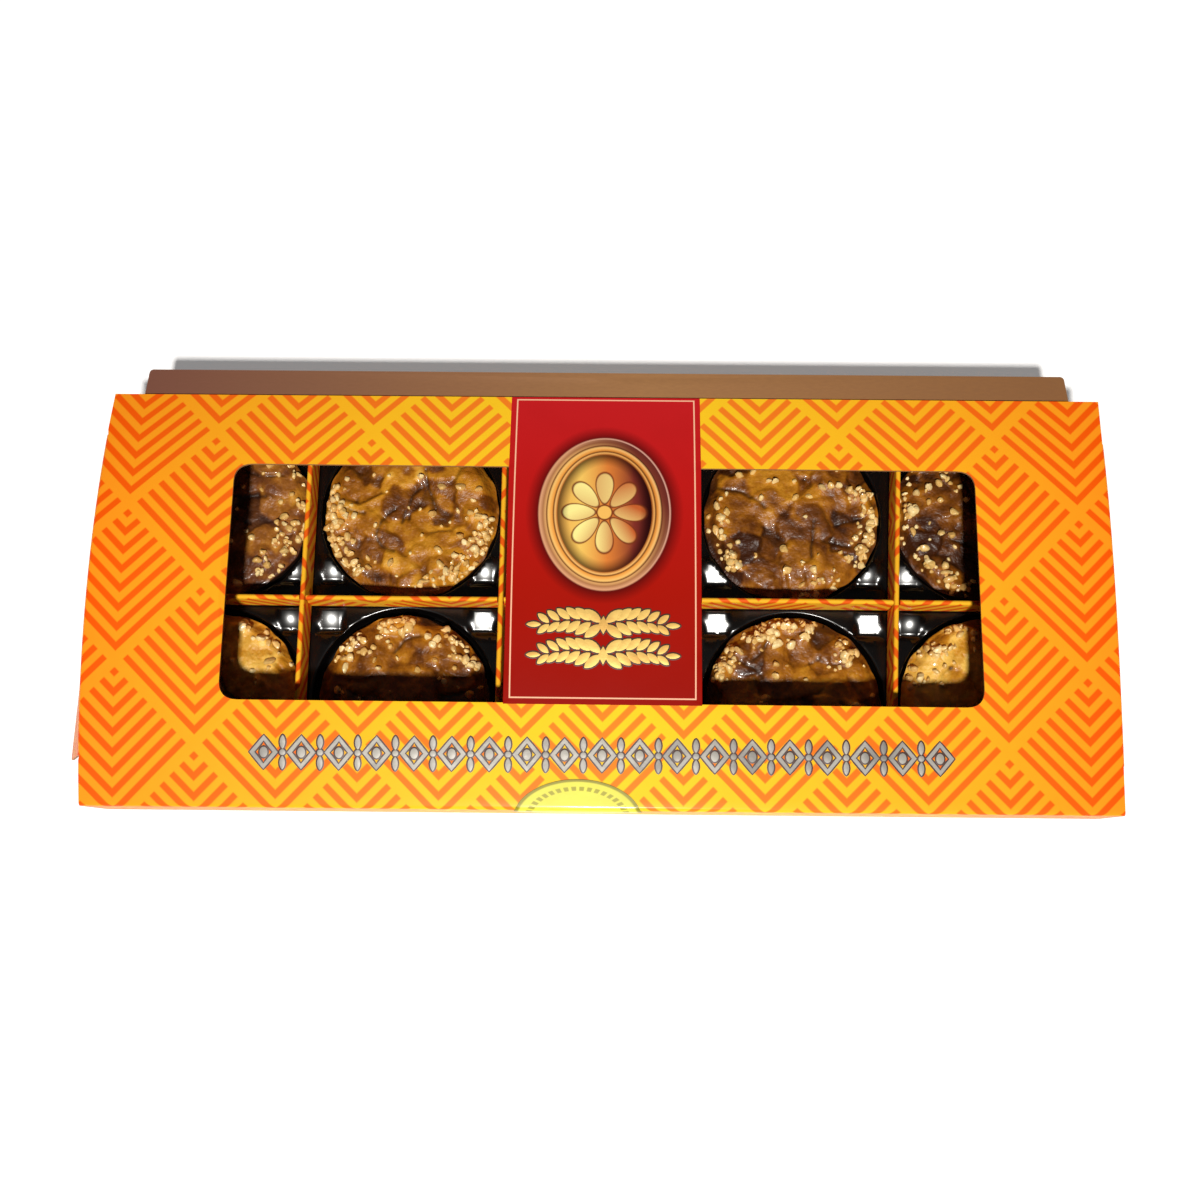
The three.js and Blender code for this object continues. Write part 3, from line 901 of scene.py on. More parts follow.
def grown(loop, growth):
    """A closed loop moved outwards from its middle line, corner by corner."""
    moved = []
    for index, here in enumerate(loop):
        along = (loop[(index + 1) % len(loop)] - loop[index - 1]).normalized()
        moved.append(here + Vector((along.y, -along.x)) * growth)
    return moved


def oval_loop(x, y, half_width, half_height, turn=0.0, power=1.0, count=16):
    """An oval, or with a higher power a pointed leaf, turned by an angle."""
    loop = []
    for angle in turns(count):
        along, across = polar(1.0, angle)
        across = math.copysign(abs(across) ** power, across)
        local = Vector((along * half_width, across * half_height))
        local.rotate(Matrix.Rotation(turn, 2))
        loop.append(Vector((x, y)) + local)
    return loop


def lozenge_loop(x, y, half_width, half_height):
    corners = [(half_width, 0), (0, half_height), (-half_width, 0), (0, -half_height)]
    loop = []
    for index, corner in enumerate(corners):
        start = Vector(corner)
        stop = Vector(corners[(index + 1) % 4])
        loop.extend(Vector((x, y)) + start.lerp(stop, share / 4) for share in range(4))
    return loop


def pad(loop, lift):
    """A small raised pad over a closed loop."""
    section = [(loop, FOOT_LIFT), (loop, lift), (grown(loop, -PAD_BEVEL), lift + PAD_RISE)]
    return loft([[off_lid(*point, height) for point in flat] for flat, height in section])


def band(outer, inner, lift):
    """A raised band between two closed loops."""
    section = [(outer, FOOT_LIFT), (outer, lift), (inner, lift), (inner, FOOT_LIFT)]
    return loft([[off_lid(*point, height) for point in flat] for flat, height in section], ringed=True)


LEAF_PAIRS = 6
LEAF_HALF_LENGTH = 3.5
LEAF_HALF_WIDTH = 1.6
LEAF_LEAN = 1.5
LEAF_RISE = 2.6
LEAF_POINT = 1.6
LEAF_TURN = math.radians(38)
LAST_LEAF = (2.4, 0.9)
SPRAY_REACH = 19.5
SPRAY_BOW = 1.6


def laurel_leaves(row):
    """Leaves of two sprays that part from the middle of a row and run out along a stem."""
    loops = []
    for side in (-1, 1):
        for index in range(LEAF_PAIRS):
            share = (index + 0.6) / LEAF_PAIRS
            size = 1.0 - 0.35 * share
            x = side * (share * SPRAY_REACH + LEAF_LEAN)
            y = row + SPRAY_BOW * math.sin(share * math.pi)
            for up in (-1, 1):
                half_sizes = (LEAF_HALF_LENGTH * size, LEAF_HALF_WIDTH * size)
                middle = (x, y + up * LEAF_RISE * size)
                loops.append(oval_loop(*middle, *half_sizes, side * up * LEAF_TURN, LEAF_POINT))
        loops.append(oval_loop(side * (SPRAY_REACH + 3.4), row, *LAST_LEAF, 0, LEAF_POINT))
    return loops


def put_foil(name, pads, bands, metal, ink):
    """Foil shapes, each with a thin dark outline printed round it."""
    parts = [pad(loop, FOIL_LIFT) for loop in pads] + [band(*pair, FOIL_LIFT) for pair in bands]
    metal_count = sum(len(faces) for _, faces in parts)
    parts += [pad(grown(loop, OUTLINE_GROWTH), INK_LIFT) for loop in pads]
    for outer, inner in bands:
        parts.append(band(grown(outer, OUTLINE_GROWTH), grown(inner, -OUTLINE_GROWTH), INK_LIFT))
    points, faces = join(parts)
    kinds = [0] * metal_count + [1] * (len(faces) - metal_count)
    put_piece(name, points, faces, [metal, ink], kinds=kinds)


GOLD_ROWS = (-10.6, -20.6)
GOLD_LOZENGE = (1.7, 3.0)
SILVER_Y = -53.0
SILVER_HALF_LENGTH = 116.0
SILVER_UNITS = 19
SILVER_LOZENGE, SILVER_OPENING = (4.6, 5.4), (3.0, 3.7)
SILVER_OVAL = (1.3, 1.7)
SILVER_BEAD = (0.95, 0.95)
SILVER_BUD = (2.2, 0.9)
SILVER_BUD_RISE = 3.3


def build_gold(metal, ink):
    """Two rows of laurel on the red panel, each parted by a lozenge."""
    pads = []
    for row in GOLD_ROWS:
        pads += [*laurel_leaves(row), lozenge_loop(0, row, *GOLD_LOZENGE)]
    put_foil("gold_ornament", pads, [], metal, ink)


def build_silver(metal, ink):
    """A border of open lozenges and beads along the front of the lid."""
    pads = []
    bands = []
    pitch = 2 * SILVER_HALF_LENGTH / SILVER_UNITS
    for unit in range(SILVER_UNITS):
        x = -SILVER_HALF_LENGTH + (unit + 0.5) * pitch
        bands.append([lozenge_loop(x, SILVER_Y, *half) for half in (SILVER_LOZENGE, SILVER_OPENING)])
        pads.append(oval_loop(x, SILVER_Y, *SILVER_OVAL))
        if unit:
            between = x - pitch / 2
            pads.append(oval_loop(between, SILVER_Y, *SILVER_BEAD))
            for rise in (-SILVER_BUD_RISE, SILVER_BUD_RISE):
                pads.append(oval_loop(between, SILVER_Y + rise, *SILVER_BUD, math.pi / 2, LEAF_POINT))
    put_foil("silver_ornament", pads, bands, metal, ink)


# -------------------- tray and insert


def rounded_loop(half_x, half_y, radius, z):
    corners = [(half_x, half_y), (-half_x, half_y), (-half_x, -half_y), (half_x, -half_y)]
    flat = round_corners([(x, y, radius) for x, y in corners], 4)
    return [Vector((point.x, point.y, z)) for point in flat]


def tray_body():
    """A card tray with rounded folds, from under its floor round to its inside."""
    top = TRAY_HIGH.z
    rings = [
        (1.2, 0.0), (0.35, 0.12), (0.0, 0.7), (0.0, top - 0.3), (0.2, top),
        (TRAY_BOARD - 0.2, top), (TRAY_BOARD, top - 0.3),
        (TRAY_BOARD, TRAY_BOARD + 0.5), (TRAY_BOARD + 0.6, TRAY_BOARD),
    ]
    x, y = TRAY_HIGH.x, -TRAY_LOW.y
    return loft([rounded_loop(x - inset, y - inset, 1.2 + max(0, 0.8 - inset), z) for inset, z in rings])


def back_flap():
    """The flap along the top of the back wall, drooping a little and not quite flat."""
    hinge = -TRAY_LOW.y - TRAY_BOARD + 0.2
    end = TRAY_HIGH.y
    half = TRAY_FLAP_HALF
    outline = round_corners([
        (-half, hinge, 0), (half, hinge, 0), (half - 1, end, 1.5), (-half + 1, end, 1.5),
    ])
    flat, faces = cut_sheet(outline, span(-half + 4, half - 4, 6), span(hinge + 2, end - 2, 3))
    points = []
    for depth in (0.13, 0.13 + TRAY_BOARD):
        for x, y in flat:
            wave = 0.12 * math.sin(x / 37) / (end - hinge)
            points.append(Vector((x, y, TRAY_HIGH.z - depth + (y - hinge) * (wave - TRAY_FLAP_DROOP))))
    return points, faces


def build_tray(card):
    points, faces = join([tray_body(), back_flap()])
    put_piece("brown_tray", points, faces, [card], ["carton_tray"])


# A well's section from its lip down: millimetres out from its radius, and height.
WELL_SECTION = (
    (0.8, 0.0), (0.5, -0.04), (0.25, -0.15), (0.08, -0.35), (0.0, -0.6),
    (-0.3, -5.3), (-0.55, -6.1), (-1.1, -6.75), (-2.0, -7.1),
)
WELL_STEPS = 96
SHEET_THICKNESS = 0.5


# Tilted facets pressed into the deck at the corners beside the long divider: how far their
# middles lie from the cross dividers, and from the long one in the front and the back row;
# their half side and the width of their blended border; their slopes to the back and, for
# each millimetre that they lie off the carton's middle, outwards; and how far under the
# insert's top their back edges would lie without that outward slope.
FACET_SIDE = 7.2
FACET_FRONT_ROW = 5.4
FACET_BACK_ROW = 12.5
FACET_HALF = 3.6
FACET_BORDER = 2.2
FACET_SLOPE = 0.36
FACET_SWING = 0.0013
DECK_DROP = 0.4

# For each cross divider, the doming of the facets at its left and at its right, each as
# (front row, back row). The flatter a facet, the larger the patch of light it mirrors.
FACET_DOMES = {
    1: ((0.030, 0.030), (0.022, 0.026)),
    2: ((0.010, 0.022), (0.015, 0.015)),
    3: ((0.015, 0.015), (0.007, 0.008)),
    4: ((0.004, 0.030), (0.032, 0.018)),
}


def well_places():
    boxes = [node_box(f"florentine_{number:02d}") for number in BISCUIT_LOOKS]
    return [((low.x + high.x) / 2, (low.y + high.y) / 2) for low, high in boxes]


def facet_places():
    """Middles of the tilted facets, on both sides of each cross divider, and their doming."""
    facets = []
    for number, sides in FACET_DOMES.items():
        low, high = node_box(f"divider_cross_{number}")
        middle = (low.x + high.x) / 2
        for side, (front_dome, back_dome) in zip((-1, 1), sides):
            x = middle + side * FACET_SIDE
            facets.append((x, GRID_Y - FACET_FRONT_ROW, front_dome))
            facets.append((x, GRID_Y + FACET_BACK_ROW, back_dome))
    return facets


def deck_height(place, facets):
    """The deck lies a little under the insert's top, and reaches it on a facet's high side."""
    height = INSERT_HIGH.z - FACET_HALF * FACET_SLOPE - DECK_DROP
    for x, y, dome in facets:
        right, back = place[0] - x, place[1] - y
        border = (max(abs(right), abs(back)) - FACET_HALF) / FACET_BORDER
        share = 1 - min(1.0, max(0.0, border))
        tilted = FACET_SLOPE * back + FACET_SWING * x * right
        height += share * (tilted - dome * (right**2 + back**2))
    return min(height, INSERT_HIGH.z)


def well_height(deck, drop):
    """Height of a well's section where the deck beside it is at its own height."""
    depth = -WELL_SECTION[-1][1]
    return WELL_FLOOR + (deck - WELL_FLOOR) * (1 + drop / depth)


def well_rings(wells, facets):
    """Points of every well from its lip to its middle, and their heights by place."""
    flat, heights = [], []
    for x, y in wells:
        for out, drop in WELL_SECTION:
            ways = [polar(WELL_RADIUS + out, turn) for turn in turns(WELL_STEPS)]
            ring = [(x + right, y + back) for right, back in ways]
            flat.extend(ring)
            heights.extend(well_height(deck_height(spot, facets), drop) for spot in ring)
        flat.append((x, y))
        heights.append(WELL_FLOOR)
    return flat, {(round(x, 3), round(y, 3)): z for (x, y), z in zip(flat, heights)}


def build_insert(sheet):
    """A formed sheet with a filleted well under each biscuit and tilted facets in its deck."""
    half_x, half_y = INSERT_HIGH.x, INSERT_HIGH.y
    wells = well_places()
    facets = facet_places()
    flat, known = well_rings(wells, facets)
    spots = [(x, y) for x in span(-half_x + 2, half_x - 2, 5) for y in span(-half_y + 1, half_y - 1, 2.5)]
    steps = span(-FACET_HALF - FACET_BORDER, FACET_HALF + FACET_BORDER, 0.8)
    spots += [(x + right, y + back) for x, y, _ in facets for right in steps for back in steps]
    far = WELL_RADIUS + WELL_SECTION[0][0] + 0.4
    flat += [spot for spot in spots if all(math.dist(spot, well) > far for well in wells)]
    outline = [(-half_x, -half_y), (half_x, -half_y), (half_x, half_y), (-half_x, half_y)]
    found, triangles = tile(flat, [outline], lambda middle: True)
    points = []
    for x, y in found:
        height = known.get((round(x, 3), round(y, 3)), deck_height((x, y), facets))
        points.append(Vector((x, y, height)))
    points += [point - Vector((0, 0, SHEET_THICKNESS)) for point in points]
    faces = thicken(len(found), triangles)
    put_piece("black_insert", points, faces, [sheet], ["insert_tray"], sharp=50)


# -------------------- dividers


def divider_section(down, up):
    """Across a strip of card with a round top edge, from one foot over to the other."""
    middle = up - DIVIDER_HALF
    angles = [math.pi * step / 8 for step in range(9)]
    over = [(-DIVIDER_HALF * math.cos(a), middle + DIVIDER_HALF * math.sin(a)) for a in angles]
    return [(-DIVIDER_HALF, down), *over, (DIVIDER_HALF, down)]


def divider_bar(start, stop, foot, top, notches, from_above, wave):
    """A strip of card along X from start to stop, not quite straight, and its print's places.
    notches are (low, high) stretches cut halfway in, from above or from below."""
    waist = (foot + top) / 2
    stations = {start, stop}
    for low, high in notches:
        stations.update((low - 1e-3, low, high, high + 1e-3))
    for x in span(start, stop, 4):
        if not any(low - 1 < x < high + 1 for low, high in notches):
            stations.add(x)
    loops, spots = [], []
    for x in sorted(stations):
        notched = any(low <= x <= high for low, high in notches)
        dip = DIVIDER_DIP * (1 - math.sin(x / DIP_LENGTH + wave))
        sway = DIVIDER_SWAY * math.sin(x / SWAY_LENGTH + wave)
        up = waist if notched and from_above else top - dip
        down = waist + SLOT_CLEARANCE if notched and not from_above else foot
        section = divider_section(down, up)
        loops.append([Vector((x, y + sway, z)) for y, z in section])
        lengths = [0.0, *(math.dist(*pair) for pair in zip(section, section[1:]))]
        spots.extend((x, run) for run in itertools.accumulate(lengths))
    points, faces = loft(loops)
    return points, [tuple(reversed(face)) for face in faces], spots


def build_dividers(card):
    """The long divider across the carton, and four cross dividers slotted over it."""
    crossings = []
    for number in range(1, 5):
        low, high = node_box(f"divider_cross_{number}")
        crossings.append(((low.x + high.x) / 2, low, high))
    slot = DIVIDER_HALF + SLOT_CLEARANCE
    notches = [(x - slot, x + slot) for x, _, _ in crossings]
    points, faces, spots = divider_bar(LONG_LOW.x, LONG_HIGH.x, LONG_LOW.z, LONG_HIGH.z, notches, True, 0.0)
    placed = [point + Vector((0, GRID_Y, 0)) for point in points]
    put_piece("long_divider", placed, faces, [card], ["divider_long"], uv=spots)
    for number, (x, low, high) in enumerate(crossings, 1):
        skew = LAST_DIVIDER_SKEW if number == 4 else 0.0
        notch = [(-slot, slot)]
        ends = ((low.y - GRID_Y) / math.cos(skew), (high.y - GRID_Y) / math.cos(skew))
        points, faces, spots = divider_bar(*ends, low.z, high.z, notch, False, number * 1.7)
        turn = Matrix.Rotation(math.pi / 2 + skew, 3, "Z")
        placed = [turn @ point + Vector((x, GRID_Y, 0)) for point in points]
        uv = [(u + 19.0 * number, v) for u, v in spots]
        node = f"divider_cross_{number}"
        put_piece(f"cross_divider_{number}", placed, faces, [card], [node], uv=uv)


# -------------------- florentines

CELL = 0.45
TOP_GRID = 108
BASE_HEIGHT = 6.3
RIM_HEIGHT = 3.9
SCATTER_REACH = 0.93

# For each biscuit: its tone, how mauve it is, and where nuts cluster round its rim, as
# (start, stop, how many) in degrees from +X.
BISCUIT_LOOKS = {
    1: (0.74, 0.0, ((20, 75, 12), (100, 170, 14), (230, 300, 16))),
    2: (0.37, 0.0, ((84, 114, 24), (120, 152, 14), (22, 62, 18), (250, 300, 20))),
    3: (0.55, 0.0, ((60, 120, 26), (200, 260, 24), (330, 380, 18))),
    4: (0.41, 0.0, ((136, 164, 26), (74, 128, 40), (34, 56, 14), (240, 290, 16))),
    5: (0.86, 0.0, ((100, 170, 26), (20, 60, 14), (220, 280, 16))),
    6: (0.34, 0.2, ((300, 370, 30), (20, 70, 14), (120, 180, 20))),
    7: (0.5, 0.0, ((156, 236, 46), (296, 362, 44), (100, 132, 18), (276, 292, 6))),
    8: (0.55, 0.0, ((10, 70, 24), (140, 200, 24), (250, 310, 20))),
    9: (0.32, 0.02, ((318, 384, 44), (172, 224, 20), (276, 306, 12), (60, 110, 18))),
    10: (0.14, 0.0, ((120, 200, 24), (210, 262, 20), (0, 60, 20))),
}


NUT_SMALLEST, NUT_LARGEST = 0.8, 2.0
LOOSE_NUTS = 34
CLUSTER_SHARE = 1.6


def spot_inside(rng, radius):
    """A random direction, and a spot in it that lies some way inside a biscuit's edge."""
    angle = rng.uniform(0, math.tau)
    return angle, polar(radius * SCATTER_REACH * math.sqrt(rng.uniform(0, 1)), angle)


def nut_spots(number, radius, rng):
    """Where nuts lie on a biscuit and how big they are: in clusters round its rim, and alone."""
    spots = []
    for start, stop, count in BISCUIT_LOOKS[number][2]:
        for _ in range(int(count * CLUSTER_SHARE)):
            angle = math.radians(rng.uniform(start, stop))
            spots.append(polar(radius * (0.965 - abs(rng.normal(0, 0.12))), angle))
    spots += [spot_inside(rng, radius)[1] for _ in range(LOOSE_NUTS)]
    sizes = NUT_SMALLEST + (NUT_LARGEST - NUT_SMALLEST) * rng.uniform(0, 1, len(spots)) ** 1.5
    return [(x, y, size) for (x, y), size in zip(spots, sizes)]


def outline_reach(angle, phases):
    """How far a biscuit's uneven edge lies from its middle, as a share of its radius."""
    waves = ((3, 0.006), (5, 0.005), (8, 0.005), (13, 0.006), (21, 0.005))
    return 1 + sum(size * np.sin(count * angle + phase) for (count, size), phase in zip(waves, phases))


def smooth_step(values, low, high):
    share = np.clip((values - low) / (high - low), 0, 1)
    return share * share * (3 - 2 * share)


def soften(grid, rounds):
    """Blurs a grid of heights by its neighbours."""
    for _ in range(rounds):
        padded = np.pad(grid, 1, mode="edge")
        cross = padded[:-2, 1:-1] + padded[2:, 1:-1] + padded[1:-1, :-2] + padded[1:-1, 2:]
        grid = (grid * 4 + cross) / 8
    return grid


# Flakes: their number, and the smallest and largest of each of their measures. A break is where
# a flake's end is missing, as a share of its half length.
FLAKE_COUNT = 56
FLAKE_HALF_LENGTH = (5.0, 11.0)
FLAKE_HALF_WIDTH = (3.8, 7.5)
FLAKE_THICKNESS = (0.3, 0.75)
FLAKE_BREAK = (0.35, 1.2)
FLAKE_BREAK_WAY = 0.4
FLAKE_SQUARENESS = 2.6
FLAKE_SLOPES = (-0.2, 0.2)


def lay_flake(x, y, heights, rng, radius):
    """Lays one almond flake on the heap: its upper face, and where it lies."""
    angle, (flake_x, flake_y) = spot_inside(rng, radius)
    turn = rng.uniform(0, math.pi)
    half_long, half_wide = rng.uniform(*FLAKE_HALF_LENGTH), rng.uniform(*FLAKE_HALF_WIDTH)
    thick = rng.uniform(*FLAKE_THICKNESS)
    dx, dy = x - flake_x, y - flake_y
    along = dx * math.cos(turn) + dy * math.sin(turn)
    across = -dx * math.sin(turn) + dy * math.cos(turn)
    across = across + 0.05 * along**2 / half_long * rng.uniform(-1, 1)
    power = FLAKE_SQUARENESS
    form = (np.abs(along / half_long) ** power + np.abs(across / half_wide) ** power) ** (1 / power)
    to_break = along * math.cos(FLAKE_BREAK_WAY) + across * math.sin(FLAKE_BREAK_WAY)
    under = (form < 1) & (to_break < half_long * rng.uniform(*FLAKE_BREAK))
    if under.sum() < 12:
        return heights, under
    places = np.c_[along[under], across[under], np.ones(under.sum())]
    plane = np.linalg.lstsq(places, heights[under], rcond=None)[0]
    slopes = np.clip(plane[:2] + rng.normal(0, 0.05, 2), *FLAKE_SLOPES)
    rounding = 0.35 * smooth_step(form, 0.6, 1)
    face = plane[2] + slopes[0] * along + slopes[1] * across + thick * (1 - rounding)
    ripple = 0.12 * np.sin(along / 1.9 + across / 2.6 + angle)
    return face + ripple, under & (face + ripple > heights)


CRACK_COUNT = 4
CRACK_STEPS = (10, 22)
CRACK_EDGE = (0.25, 0.85)
CRACK_DEPTH = 0.7


def crack_lines(rng, radius):
    """A few long curved cracks, each a run of points a millimetre apart."""
    lines = []
    for _ in range(CRACK_COUNT):
        angle, far = rng.uniform(0, math.tau), radius * rng.uniform(0.1, 0.75)
        point = np.array(polar(far, angle))
        line = [point]
        way = rng.uniform(0, math.tau)
        bend = rng.uniform(-0.09, 0.09)
        for _ in range(int(rng.integers(*CRACK_STEPS))):
            way += bend + rng.normal(0, 0.12)
            point = point + polar(1.0, way)
            line.append(point)
        lines.append(line)
    return lines


def cloudy(rng, shape, rounds):
    """Soft random lumps over a grid, of about unit height."""
    lumps = soften(rng.normal(size=shape), rounds)
    return lumps / lumps.std()


def heap_flakes(x, y, radius, rng, tone):
    """Height, tone and darkening of flakes heaped at random on a low dome. The darkening is the darker
    caramel of the gaps between flakes, and painted shade in those gaps and in hollows.
    """
    heights = BASE_HEIGHT - 0.8 * (np.hypot(x, y) / radius) ** 2 + 0.3 * cloudy(rng, x.shape, 120)
    tones = np.full_like(x, tone - 0.25)
    # Gaps between flakes start darkened: darker caramel and painted shade.
    dark_gaps_and_shades = np.full_like(x, 0.4)
    for _ in range(FLAKE_COUNT):
        face, shown = lay_flake(x, y, heights, rng, radius)
        if shown.any():
            heights = np.where(shown, face, heights)
            tones = np.where(shown, tone + rng.normal(0, 0.12), tones)
            dark_gaps_and_shades = np.where(shown, 0.0, dark_gaps_and_shades)
    # Painted shade: hollows under the softened heap are darkened.
    sunk = soften(heights, 12) - heights
    return heights, tones, np.clip(dark_gaps_and_shades + smooth_step(sunk, 0.15, 0.6) * 0.6, 0, 1)


def top_of_biscuit(radius, rng, tone, nuts):
    """Height, tone and darkening of a biscuit's top on a square grid of cells. The darkening is painted
    shade in cracks, gaps and hollows, with the darker caramel of the gaps, and is lifted round the nuts.
    """
    half = int(radius / CELL) + 4
    line = np.arange(-half, half + 1) * CELL
    x, y = np.meshgrid(line, line)
    heights, tones, dark_gaps_and_shades = heap_flakes(x, y, radius, rng, tone)
    for crack in crack_lines(rng, radius):
        gap = np.min([np.hypot(x - px, y - py) for px, py in crack], axis=0)
        groove = 1 - smooth_step(gap, *CRACK_EDGE)
        heights = heights - CRACK_DEPTH * groove
        # Painted shade in the cracks.
        dark_gaps_and_shades = np.maximum(dark_gaps_and_shades, groove * 0.95)
    heights = soften(heights, 2) + 0.09 * cloudy(rng, x.shape, 10)
    crowd = np.zeros_like(x)
    for px, py, size in nuts:
        mound = np.exp(-((x - px) ** 2 + (y - py) ** 2) / (1.3 * size) ** 2)
        heights = heights + 0.25 * size * mound
        crowd = np.maximum(crowd, mound)
    tones = tones + 0.22 * crowd + 0.05 * cloudy(rng, x.shape, 60)
    # Painted shade is lifted where nuts stand proud.
    dark_gaps_and_shades = dark_gaps_and_shades * (1 - 0.7 * crowd)
    edge = smooth_step(np.hypot(x, y) / radius, 0.86, 1.0)
    heights = heights * (1 - edge) + RIM_HEIGHT * edge
    return {"height": heights, "tone": soften(tones, 2), "dark_gaps_and_shade": soften(dark_gaps_and_shades, 1), "half": half}


def read_grid(top, key, x, y):
    """Values of a biscuit's grid at any points, blended between its cells."""
    grid = top[key]
    column = np.clip(x / CELL + top["half"], 0, grid.shape[1] - 1.001)
    row = np.clip(y / CELL + top["half"], 0, grid.shape[0] - 1.001)
    c, r = column.astype(int), row.astype(int)
    right, up = column - c, row - r
    lower = grid[r, c] * (1 - right) + grid[r, c + 1] * right
    upper = grid[r + 1, c] * (1 - right) + grid[r + 1, c + 1] * right
    return lower * (1 - up) + upper * up


def disc_grid(count):
    """A square grid of points eased onto the unit disc, evenly spread."""
    line = np.linspace(-1, 1, count)
    a, b = np.meshgrid(line, line)
    wide = np.abs(a) > np.abs(b)
    reach = np.where(wide, a, b)
    divisor = np.where(np.abs(reach) < 1e-9, 1.0, reach)
    angle = np.where(wide, math.pi / 4 * b / divisor, math.pi / 2 - math.pi / 4 * a / divisor)
    return (reach * np.cos(angle)).ravel(), (reach * np.sin(angle)).ravel()


# A biscuit's side from its top rim down: share of the outline, and height.
SIDE_SECTION = ((1.004, 3.3), (1.008, 2.6), (1.006, 1.7), (0.994, 0.8), (0.97, 0.2), (0.94, 0.0))


def biscuit_faces(count):
    """Faces of the top grid, then of the side and the foot, with the rim's loop between."""
    index = np.arange(count * count).reshape(count, count)
    corners = (index[:-1, :-1], index[:-1, 1:], index[1:, 1:], index[1:, :-1])
    top = np.stack([corner.ravel() for corner in corners], 1).tolist()
    rim = [*index[0, :-1], *index[:-1, -1], *index[-1, :0:-1], *index[:0:-1, 0]]
    faces = [tuple(face) for face in top]
    around = len(rim)
    previous = rim
    first = count * count
    for ring in range(len(SIDE_SECTION)):
        here = [first + ring * around + step for step in range(around)]
        for step in range(around):
            after = (step + 1) % around
            faces.append((previous[step], here[step], here[after], previous[after]))
        previous = here
    middle = first + len(SIDE_SECTION) * around
    faces.extend((middle, previous[(step + 1) % around], previous[step]) for step in range(around))
    return faces, rim, len(top)


def build_biscuit(number, glaze, chocolate):
    """One florentine: glazed flakes over a foot of dark chocolate."""
    node = f"florentine_{number:02d}"
    low, high = node_box(node)
    middle = (low + high) / 2
    radius = (high.x - low.x + high.y - low.y) / 4
    tone, mauve, _ = BISCUIT_LOOKS[number]
    rng = np.random.default_rng(400 + number)
    phases = rng.uniform(0, math.tau, 5)
    nuts = nut_spots(number, radius, rng)
    top = top_of_biscuit(radius, rng, tone, nuts)
    unit_x, unit_y = disc_grid(TOP_GRID)
    reach = radius * outline_reach(np.arctan2(unit_y, unit_x), phases)
    x, y = unit_x * reach, unit_y * reach
    faces, rim, top_count = biscuit_faces(TOP_GRID)
    rows = [np.c_[x, y, read_grid(top, "height", x * 0.995, y * 0.995)]]
    for share, height in SIDE_SECTION:
        wave = 0.25 * np.sin(np.arctan2(y[rim], x[rim]) * 9 + phases[0]) * (height > 1)
        rows.append(np.c_[x[rim] * share, y[rim] * share, np.full(len(rim), height) + wave])
    rows.append(np.array([[0, 0, 0.0]]))
    points = np.vstack(rows) + np.array((middle.x, middle.y, low.z))
    extra = len(points) - len(x)
    marks = {
        "tone": np.r_[read_grid(top, "tone", x, y), np.zeros(extra)],
        "dark_gaps_and_shade": np.r_[read_grid(top, "dark_gaps_and_shade", x, y), np.ones(extra)],
        "mauve": np.r_[np.full(len(x), mauve), np.zeros(extra)],
    }
    kinds = [0] * top_count + [1] * (len(faces) - top_count)
    name = f"biscuit_{number:02d}"
    put_piece(name, points, faces, [glaze, chocolate], [node], kinds, marks=marks, sharp=60)
    return {"top": top, "middle": middle, "foot": low.z, "nuts": nuts}


NUT_SINK = 0.18


def rough_ball():
    """Points and triangles of a small ball."""
    mesh = bmesh.new()
    bmesh.ops.create_icosphere(mesh, subdivisions=2, radius=1)
    points = np.array([tuple(vertex.co) for vertex in mesh.verts])
    faces = np.array([[vertex.index for vertex in face.verts] for face in mesh.faces])
    mesh.free()
    return points, faces


def chopped(points, rng):
    """A ball cut by a few flat faces, as chopped nut is."""
    shape = points * rng.uniform(0.9, 1.1, (len(points), 1))
    for _ in range(6):
        cut = rng.normal(size=3)
        cut /= np.linalg.norm(cut)
        proud = np.maximum(shape @ cut - rng.uniform(0.55, 0.8), 0)
        shape = shape - proud[:, None] * cut
    shape = shape * rng.uniform((0.8, 0.7, 0.55), (1.25, 1.0, 0.85))
    turn = np.linalg.qr(rng.normal(size=(3, 3)))[0]
    return shape @ (turn * np.sign(np.linalg.det(turn)))


def build_nuts(biscuits, nut):
    """All the chopped nuts on the biscuits, as one piece."""
    ball, ball_faces = rough_ball()
    points, faces, tones = [], [], []
    rng = np.random.default_rng(77)
    for biscuit in biscuits:
        for x, y, size in biscuit["nuts"]:
            surface = read_grid(biscuit["top"], "height", np.array([x]), np.array([y]))[0]
            height = biscuit["foot"] + surface + NUT_SINK * size
            place = np.array((biscuit["middle"].x + x, biscuit["middle"].y + y, height))
            faces.append(ball_faces + len(points) * len(ball))
            points.append(chopped(ball, rng) * size + place)
            tones.append(np.full(len(ball), rng.uniform(0.5, 1.0)))
    marks = {"tone": np.concatenate(tones)}
    all_points, all_faces = np.vstack(points), np.vstack(faces).tolist()
    put_piece("chopped_nuts", all_points, all_faces, [nut], marks=marks, sharp=40)


# -------------------- floor, lights, camera


FLOOR_HALF = 4.0
FLOOR_GAP = 0.0002


def build_floor():
    half = FLOOR_HALF
    mesh = bpy.data.meshes.new("floor")
    corners = [(-half, -half, 0), (half, -half, 0), (half, half, 0), (-half, half, 0)]
    mesh.from_pydata(corners, [], [(0, 1, 2, 3)])
    mesh.materials.append(pale_floor())
    floor = add_object("floor", mesh)
    floor.location.z = -FLOOR_GAP


KEY_PLACE = Vector((0.0, -1.12, 2.14))
KEY_SIZE = 0.16
KEY_POWER = 68.0
KEY_COLOUR = (1.0, 0.975, 0.94)
SKY_LOW, SKY_HIGH, SKY_EDGE = 0.4, 0.03, 0.3


